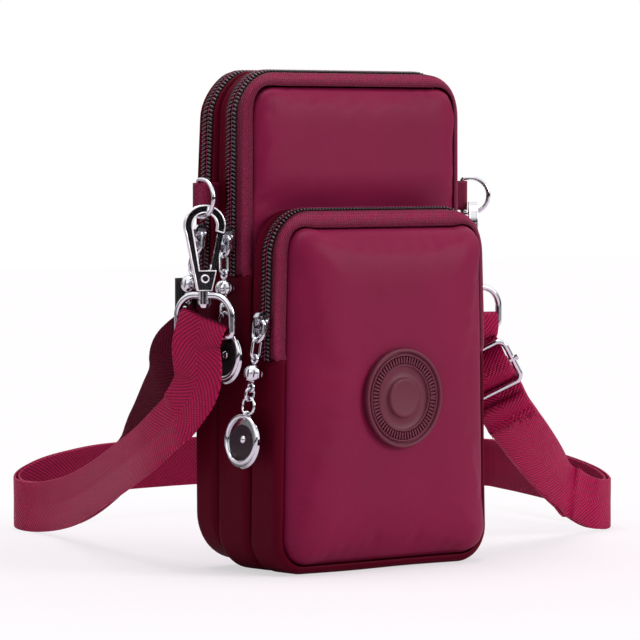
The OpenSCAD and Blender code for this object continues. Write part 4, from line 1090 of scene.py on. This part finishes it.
def loop_shade(stations, spots, normals):
    """How much painted shade darkens the strap's inner face, away from its folds. The sign tells that face's
    side.
    """
    most, clear_run, fade_run, fold_stations = 0.45, 25, 40, 40
    high = np.sort(np.argsort(spots[:, 2])[-fold_stations:])
    near = np.min(np.abs(stations[:, None] - stations[None, high]), axis=1)
    inward = (spots.mean(axis=0) - spots)[:, :2]
    inward /= np.linalg.norm(inward, axis=1)[:, None]
    turned = np.sum(inward * normals[:, :2], axis=1)
    return most * np.clip((near - clear_run) / fade_run, 0, 1) * np.clip(3 * turned, -1, 1)


def frayed_threads(start, tangent, width, normal):
    """Points and faces of the loose threads at the webbing's cut end."""
    half, thick, thread_r, inside = STRAP_W / 2, STRAP_T / 2, 0.13, 0.8
    shortest, longest, stray = 1.0, 3.6, 0.5
    rng = np.random.default_rng(11)
    points, faces = [], []
    for a in np.linspace(-0.97, 0.97, 46):
        for layer in (-0.5, 0.5):
            root = start + width * a * half + normal * layer * thick + tangent * inside
            out = -tangent * rng.uniform(shortest, longest)
            drift = (rng.normal(0, stray, 3) + normal * rng.normal(0, stray))
            line = [root, root + out * 0.5 + drift * 0.3, root + out + drift]
            verts, some = tube(line, thread_r, sides=4)
            faces += [tuple(i + len(points) for i in f) for f in some]
            points += list(verts)
    return points, faces


class POUCH_OT_strap(bpy.types.Operator):
    """Herringbone shoulder strap, doubled from the left eye to the adjuster, with a frayed cut end"""
    bl_idname = "pouch.strap"
    bl_label = "Shoulder strap"

    def execute(self, context):
        stations, spots, tangents, widths, normals = fine_path(strap_path(), 1.5)
        half, thick = STRAP_W / 2, STRAP_T / 2
        # Half of the webbing's section as shares: a rounded selvedge and a shallow dip along the middle
        section = [(1, 0), (0.985, 0.6), (0.95, 0.95), (0.6, 1), (0.2, 0.97), (0, 0.93)]
        section += [(-a, b) for a, b in section[-2::-1]]
        section += [(a, -b) for a, b in section[-2:0:-1]]
        points, uvs = [], []
        for s, p, w, m in zip(stations, spots, widths, normals):
            for a, b in section:
                points.append(p + w * a * half + m * b * thick)
                uvs.append((s, a * half))
        count = len(section)
        faces = grid_faces(len(stations), count, closed=True)
        faces.append(tuple(range(count)))
        faces.append(tuple(len(points) - count + i for i in range(count))[::-1])
        strap = mesh_piece("shoulder_strap_webbing", points, faces, herringbone(), uvs)
        fix_normals(strap)
        # Painted shade on the loop's inner face and on the inner layer behind the left fold
        shade = loop_shade(stations, spots, normals)[:, None]
        sides = np.array([b for _, b in section])[None, :]
        tones = 1 - abs(shade) * np.clip(sides * np.sign(shade), 0, 1)
        give_tone(strap, (tones * strap_tone(stations, spots)[:, None]).ravel())
        place(strap, "webbing", "shoulder_strap")
        fray, fray_faces = frayed_threads(spots[0], tangents[0], widths[0], normals[0])
        threads = mesh_piece("strap_fray", fray, fray_faces, herringbone(), [(p[0], p[2]) for p in fray])
        fix_normals(threads)
        give_tone(threads, np.ones(len(fray)))
        place(threads, "webbing")
        return {"FINISHED"}


def give_tone(piece, tones):
    """Sets each point's painted light and shade, for the materials that read it."""
    layer = piece.data.attributes.new("tone", "FLOAT", "POINT")
    layer.data.foreach_set("value", np.asarray(tones, float))


def fix_normals(piece):
    """Turns all faces of a closed shape outwards."""
    shape = bmesh.new()
    shape.from_mesh(piece.data)
    bmesh.ops.recalc_face_normals(shape, faces=shape.faces)
    shape.to_mesh(piece.data)
    shape.free()


class POUCH_OT_badge(bpy.types.Operator):
    """Round rubber badge: rim, groove, a ring of ticks, a plain band and a raised middle"""
    bl_idname = "pouch.badge"
    bl_label = "Badge"

    def execute(self, context):
        low, high = box_mm("badge")
        x, z, r = (low[0] + high[0]) / 2, (low[2] + high[2]) / 2, (high[0] - low[0]) / 2
        seat, top = high[1], high[1] - low[1]
        # Rim, groove, two beads and middle disc, as shares of the radius and the height
        section = [
            (1.0, 0.0), (1.0, 0.88), (0.99, 0.97), (0.975, 1.0), (0.95, 1.0), (0.937, 0.96),
            (0.93, 0.68), (0.92, 0.6), (0.9, 0.6), (0.89, 0.68), (0.883, 0.86), (0.865, 0.88),
            (0.85, 0.86), (0.845, 0.6), (0.84, 0.54), (0.69, 0.54), (0.685, 0.6), (0.68, 0.84),
            (0.665, 0.86), (0.65, 0.84), (0.645, 0.58), (0.635, 0.52), (0.415, 0.52), (0.405, 0.58),
            (0.395, 0.9), (0.375, 0.97), (0.34, 0.97), (0.31, 0.93), (0.0, 0.92)]
        turns, unevenness = 128, 0.006
        points = []
        for share, rise in section[:-1]:
            for k in range(turns):
                a = TURN * k / turns
                wobble = 1 + unevenness * math.sin(3 * a + 0.7) * (share > 0.9)
                points.append((x + r * share * wobble * math.cos(a), seat - top * rise,
                               z + r * share * wobble * math.sin(a)))
        points.append((x, seat - top * section[-1][1], z))
        faces = grid_faces(len(section) - 1, turns, closed=True)
        last = (len(section) - 2) * turns
        faces += [(last + k, last + (k + 1) % turns, len(points) - 1) for k in range(turns)]
        faces.append(tuple(range(turns)))
        rubber = badge_rubber()
        piece = mesh_piece("badge_rubber_disc", points, faces, rubber)
        fix_normals(piece)
        place(piece, "badge_rubber", "badge")
        # The line ends short of its start, so that the last tick doesn't lie on the first
        count, ring_r, floor = sizes().tick_count, 0.765 * r, 0.54 * top
        half_l, half_w, rise = 0.068 * r, 0.018 * r, 0.34 * top
        ring = [(x + ring_r * math.cos(a), seat - floor, z + ring_r * math.sin(a))
                for a in np.linspace(0, TURN * (1 - 0.6 / count), 193)]
        corners = [(sx * half_w, -rise * sy, sz * half_l)
                   for sx in (-1, 1) for sy in (0, 1) for sz in (-1, 1)]
        block = [(0, 1, 3, 2), (4, 6, 7, 5), (0, 4, 5, 1), (2, 3, 7, 6), (0, 2, 6, 4), (1, 5, 7, 3)]
        mesh = copied("badge_ticks", ring, TURN * ring_r / count, corners, block, rubber)
        ticks = joined("badge_tick_ring", [mesh], rubber)
        ticks.data.polygons.foreach_set("use_smooth", [False] * len(ticks.data.polygons))
        place(ticks, "badge_rubber")
        return {"FINISHED"}


METAL_NODES = ["strap_adjuster"] + [side + "_" + part for side in ("left", "right") for part in (
    "strap_eye", "ring", "hook", "swivel_pin", "hook_gate", "gate_rivet", "gate_spring")]
METAL_NODES += [box["name"] + "_" + part for box in COMPARTMENTS for part in (
    "slider", "bail", "link", "bead_pin", "bead", "short_link", "charm_ring", "charm")]


def darken_field(mesh):
    """Gives a charm's sunk faces its second finish. Returns its centre, axis, field radius and half depth."""
    level, field_half, rim_half = 0.97, 0.72 * MM, 0.3 * MM
    spots = np.array([v.co for v in mesh.vertices])
    axis = np.linalg.svd(spots - spots.mean(axis=0), full_matrices=False)[2][2]
    along = spots @ axis
    middle = (along.min() + along.max()) / 2
    for face in mesh.polygons:
        flat = abs(np.array(face.normal) @ axis) > level
        face.material_index = int(flat and abs(np.array(face.center) @ axis - middle) < field_half)
    sunk = [face for face in mesh.polygons if face.material_index]
    rim = np.array([v for v in spots if abs(v @ axis - middle) < rim_half])
    if len(rim):
        centre = (rim.min(axis=0) + rim.max(axis=0)) / 2
    else:
        centre = np.mean([face.center for face in sunk], axis=0)
    reach = max(np.linalg.norm(spots[i] - centre) for face in sunk for i in face.vertices)
    return centre, axis, reach / MM, (along.max() - along.min()) / 2 / MM


def trim_charm(name, turn, field, material):
    """A charm's rounded rim and the small polished dome in the middle of its outer face."""
    centre, axis, reach, half = field
    centre, axis = np.array(turn @ Vector(centre)), np.array(turn.to_3x3() @ Vector(axis))
    if axis[0] > 0:
        axis = -axis
    a = unit(np.cross(axis, UP))
    b = np.cross(axis, a)
    wire, rim_turns, rim_sides = 0.8, 64, 12
    dome_r, dome_rise, dome_foot, dome_rings, dome_sides = 1.5, 0.95, 0.35, 7, 24
    middle = centre / MM
    points = []
    for k in np.linspace(0, TURN, rim_turns, False):
        out = math.cos(k) * a + math.sin(k) * b
        for t in np.linspace(0, TURN, rim_sides, False):
            points.append(middle + out * (reach + wire * (0.4 + math.cos(t)))
                          + axis * (half - 0.8 * wire + wire * math.sin(t)))
    faces = [(i * rim_sides + j, i * rim_sides + (j + 1) % rim_sides,
              (i + 1) % rim_turns * rim_sides + (j + 1) % rim_sides, (i + 1) % rim_turns * rim_sides + j)
             for i in range(rim_turns) for j in range(rim_sides)]
    rim = mesh_piece(name + "_rim", points, faces, material)
    points = []
    for lift in np.radians(np.linspace(0, 80, dome_rings)):
        for k in np.linspace(0, TURN, dome_sides, False):
            flat = dome_r * math.cos(lift) * (math.cos(k) * a + math.sin(k) * b)
            points.append(middle + axis * (dome_foot + dome_rise * math.sin(lift)) + flat)
    faces = grid_faces(dome_rings, dome_sides, closed=True)
    faces += [tuple(range(dome_sides)), tuple(range(len(points) - dome_sides, len(points)))]
    dome = mesh_piece(name + "_dome", points, faces, material)
    for piece in (rim, dome):
        fix_normals(piece)
        place(piece, "bright_metal", body=body_of(name))


def face_outlines(mesh):
    """Closed lines round the flat faces of a casting, in millimetres."""
    level, steep_below, fewest = 0.97, 0.75, 8

    def key(index):
        """A corner's place, rounded so that loose triangles share it."""
        return tuple(round(c / MM, 3) for c in mesh.vertices[index].co)

    areas = {}
    for face in mesh.polygons:
        way = max(tuple(round(c, 1) for c in face.normal), tuple(round(-c, 1) for c in face.normal))
        areas[way] = areas.get(way, 0) + face.area
    axis = unit(np.array(max(areas, key=areas.get)))
    flat, steep = set(), set()
    for face in mesh.polygons:
        ring = [key(i) for i in face.vertices]
        pairs = {frozenset(pair) for pair in zip(ring, ring[1:] + ring[:1])}
        lean = abs(np.array(face.normal) @ axis)
        if lean > level:
            flat |= pairs
        elif lean < steep_below:
            steep |= pairs
    links = {}
    for a, b in (tuple(pair) for pair in flat & steep if len(pair) == 2):
        links.setdefault(a, []).append(b)
        links.setdefault(b, []).append(a)
    outlines = []
    while links:
        spot = next(iter(links))
        line = [spot]
        while links.get(spot):
            following = links[spot].pop()
            links[following].remove(spot)
            line.append(following)
            spot = following
        for done in [k for k, v in links.items() if not v]:
            del links[done]
        if len(line) > fewest:
            outlines.append(np.array(line))
    return outlines


def edge_rims(name, node, material):
    """Rounded edges round the flat faces of a casting, in a lighter metal that is a painted highlight."""
    edge_r = 0.27
    verts, faces = [], []
    for line in face_outlines(node.data):
        turned = [np.array(node.matrix_world @ Vector(p * MM)) / MM for p in line]
        some, rings = tube(turned, edge_r)
        faces += [tuple(i + len(verts) for i in f) for f in rings]
        verts += list(some)
    if not verts:
        return
    place(mesh_piece(name + "_edges", verts, faces, material), "bright_metal", body=body_of(name))


def body_of(node):
    """The body that carries a CAD node."""
    return next(name for name, nodes in frame["record"]["behaviour"]["bodies"].items() if node in nodes)


class POUCH_OT_metal(bpy.types.Operator):
    """Plated finish on the hooks, rings, eyes, adjuster, sliders and pullers"""
    bl_idname = "pouch.metal"
    bl_label = "Metal"

    def execute(self, context):
        nickel, dull, edge_highlight = bright_nickel(), dull_nickel(), edge_nickel()
        for name in METAL_NODES:
            node = frame["nodes"][name]
            node.data.materials.clear()
            node.data.materials.append(nickel)
            if name.endswith("_charm"):
                node.data.materials.append(dull)
                trim_charm(name, node.matrix_world, darken_field(node.data), nickel)
            elif name.split("_", 1)[1] in ("hook", "hook_gate", "gate_rivet"):
                # Rims along the casting's edges carry a painted highlight
                edge_rims(name, node, edge_highlight)
        return {"FINISHED"}


def studio_card(name, centre, facing, width, height, glow=0.0):
    """A dark or glowing card that only mirror-like metal sees, as in a product studio."""
    mesh = bpy.data.meshes.new(name)
    mesh.from_pydata([(-width / 2, -height / 2, 0), (width / 2, -height / 2, 0), (width / 2, height / 2, 0),
                      (-width / 2, height / 2, 0)], [], [(0, 1, 2, 3)])
    material, tree = empty_material("white_card" if glow else "black_card")
    if tree is not None:
        shader = add(tree, "ShaderNodeEmission", {"Color": (1, 1, 1, 1), "Strength": glow})
        add(tree, "ShaderNodeOutputMaterial", {"Surface": shader.outputs[0]})
    mesh.materials.append(material)
    card = bpy.data.objects.new(name, mesh)
    bpy.context.scene.collection.objects.link(card)
    card.location = centre
    card.rotation_euler = (Vector(facing) - Vector(centre)).to_track_quat("Z", "Y").to_euler()
    card.visible_camera = card.visible_diffuse = card.visible_shadow = False


def soft_light(name, centre, target, size, watts):
    """A rectangular area lamp that faces a point."""
    lamp = bpy.data.lights.new(name, "AREA")
    lamp.shape = "RECTANGLE"
    lamp.size, lamp.size_y = size
    lamp.energy = watts
    light = bpy.data.objects.new(name, lamp)
    bpy.context.scene.collection.objects.link(light)
    light.location = centre
    light.rotation_euler = (Vector(target) - Vector(centre)).to_track_quat("-Z", "Y").to_euler()
    return light


def photo_camera(scene):
    """The camera at the photograph's angle and distance."""
    camera = bpy.data.cameras.new("camera")
    camera.sensor_width = 36
    camera.lens = CAMERA_LENS_MM
    camera.shift_y = FRAME_SHIFT_PX / FRAME_PX
    camera.clip_end = 20
    holder = bpy.data.objects.new("camera", camera)
    scene.collection.objects.link(holder)
    holder.location = CAMERA_AT
    holder.rotation_euler = (Vector(CAMERA_AIM) - holder.location).to_track_quat("-Z", "Y").to_euler()
    scene.camera = holder


def paper_floor(scene):
    """Pale paper that fades to white away from the pouch, and keeps its shadow near it."""
    mesh = bpy.data.meshes.new("floor")
    reach, fade_start, fade_end, least = 3.0, 0.05, 0.32, 0.58
    mesh.from_pydata([(-reach, -reach, 0), (reach, -reach, 0), (reach, reach, 0), (-reach, reach, 0)],
                     [], [(0, 1, 2, 3)])
    floor = bpy.data.objects.new("floor", mesh)
    scene.collection.objects.link(floor)
    material, tree = empty_material("pale_paper_sweep")
    spot = add(tree, "ShaderNodeTexCoord").outputs["Object"]
    far = add(tree, "ShaderNodeVectorMath", {0: spot}, operation="LENGTH")
    fade = add(tree, "ShaderNodeMapRange", {
        "Value": far.outputs["Value"], "From Min": fade_start, "From Max": fade_end, "To Min": least},
        interpolation_type="SMOOTHSTEP")
    paper = add(tree, "ShaderNodeBsdfDiffuse", {"Color": (*linear("fbecf7"), 1)})
    white = add(tree, "ShaderNodeEmission", {"Color": (1, 0.985, 1, 1), "Strength": 1.0})
    ray = add(tree, "ShaderNodeLightPath")
    seen = add(tree, "ShaderNodeMath", {
        0: ray.outputs["Is Camera Ray"], 1: ray.outputs["Is Transmission Ray"]}, operation="MAXIMUM")
    share = add(tree, "ShaderNodeMath", {0: fade.outputs[0], 1: seen.outputs[0]}, operation="MULTIPLY")
    mix = add(tree, "ShaderNodeMixShader", {0: share.outputs[0], 1: paper.outputs[0], 2: white.outputs[0]})
    add(tree, "ShaderNodeOutputMaterial", {"Surface": mix.outputs[0]})
    mesh.materials.append(material)


def studio_world(scene):
    """White background with dim even light. Mirror-like metal sees a dark horizon below a bright ceiling."""
    world = bpy.data.worlds.new("studio")
    scene.world = world
    world.use_nodes = True
    tree = world.node_tree
    tree.nodes.clear()
    ray = add(tree, "ShaderNodeLightPath")
    glossy = add(tree, "ShaderNodeMath", {0: ray.outputs["Is Camera Ray"], 1: ray.outputs["Is Glossy Ray"]},
                 operation="MAXIMUM")
    seen = add(tree, "ShaderNodeMath", {0: glossy.outputs[0], 1: ray.outputs["Is Transmission Ray"]},
               operation="MAXIMUM")
    ray_way = add(tree, "ShaderNodeSeparateXYZ", {0: add(tree, "ShaderNodeTexCoord").outputs["Generated"]})
    ceiling = add(tree, "ShaderNodeMapRange", {
        "Value": ray_way.outputs[2], "From Min": 0.05, "From Max": 0.45, "To Min": 0.04, "To Max": 1.25})
    plain = add(tree, "ShaderNodeMapRange", {"Value": seen.outputs[0], "To Min": 0.3, "To Max": 1.0})
    strength = add(tree, "ShaderNodeMix", {
        0: ray.outputs["Is Glossy Ray"], 2: plain.outputs[0], 3: ceiling.outputs[0]})
    light = add(tree, "ShaderNodeBackground", {"Color": (1, 1, 1, 1), "Strength": strength.outputs[0]})
    add(tree, "ShaderNodeOutputWorld", {"Surface": light.outputs[0]})


class POUCH_OT_stage(bpy.types.Operator):
    """Camera, pale floor, white background and soft studio light"""
    bl_idname = "pouch.stage"
    bl_label = "Stage"

    def execute(self, context):
        scene = context.scene
        scene.view_settings.view_transform = "Standard"
        photo_camera(scene)
        paper_floor(scene)
        studio_world(scene)
        soft_light("key", (0.85, -1.3, 0.7), (0, 0, 0.09), (0.7, 0.7), 14)
        soft_light("top", (-0.1, 0.1, 1.3), (0, 0, 0.1), (0.8, 0.8), 9.5)
        soft_light("left_fill", (-1.3, -0.3, 0.6), (-0.05, 0, 0.08), (0.5, 0.8), 1.0)
        hooks = (-0.06, 0, 0.12)
        studio_card("card_front", (-0.45, -1.2, 0.1), hooks, 0.3, 0.9)
        studio_card("card_back", (-1.0, 0.9, 0.2), hooks, 0.25, 0.9, glow=1.2)
        studio_card("card_left", (-1.2, 0.15, 0.2), hooks, 0.5, 0.5)
        studio_card("card_low", (-0.7, -0.7, 0.02), hooks, 0.5, 0.2)
        return {"FINISHED"}


OPERATORS = (
    POUCH_OT_panels, POUCH_OT_gussets, POUCH_OT_tapes, POUCH_OT_coils, POUCH_OT_linings, POUCH_OT_tabs,
    POUCH_OT_arm_band, POUCH_OT_strap, POUCH_OT_badge, POUCH_OT_metal, POUCH_OT_stage)


class POUCH_PT_build(bpy.types.Panel):
    """Lists the sizes, the colours and the steps of the build"""
    bl_idname = "POUCH_PT_build"
    bl_label = "Phone pouch"
    bl_space_type = "VIEW_3D"
    bl_region_type = "UI"
    bl_category = "Pouch"

    def draw(self, context):
        for group in (context.scene.pouch_sizes, context.scene.pouch_colours):
            for name in group.__annotations__:
                self.layout.prop(group, name)
        for operator in OPERATORS:
            self.layout.operator(operator.bl_idname)


CLASSES = (PouchSizes, PouchColours, *OPERATORS, POUCH_PT_build)


def register():
    """Makes the classes and the scene's sizes and colours known."""
    for item in CLASSES:
        bpy.utils.register_class(item)
    bpy.types.Scene.pouch_sizes = bpy.props.PointerProperty(type=PouchSizes)
    bpy.types.Scene.pouch_colours = bpy.props.PointerProperty(type=PouchColours)


def unregister():
    """Takes them away again."""
    del bpy.types.Scene.pouch_sizes
    del bpy.types.Scene.pouch_colours
    for item in reversed(CLASSES):
        bpy.utils.unregister_class(item)


def main():
    register()
    for operator in OPERATORS:
        group, name = operator.bl_idname.split(".")
        getattr(getattr(bpy.ops, group), name)()
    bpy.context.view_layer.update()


if __name__ == "__main__":
    main()
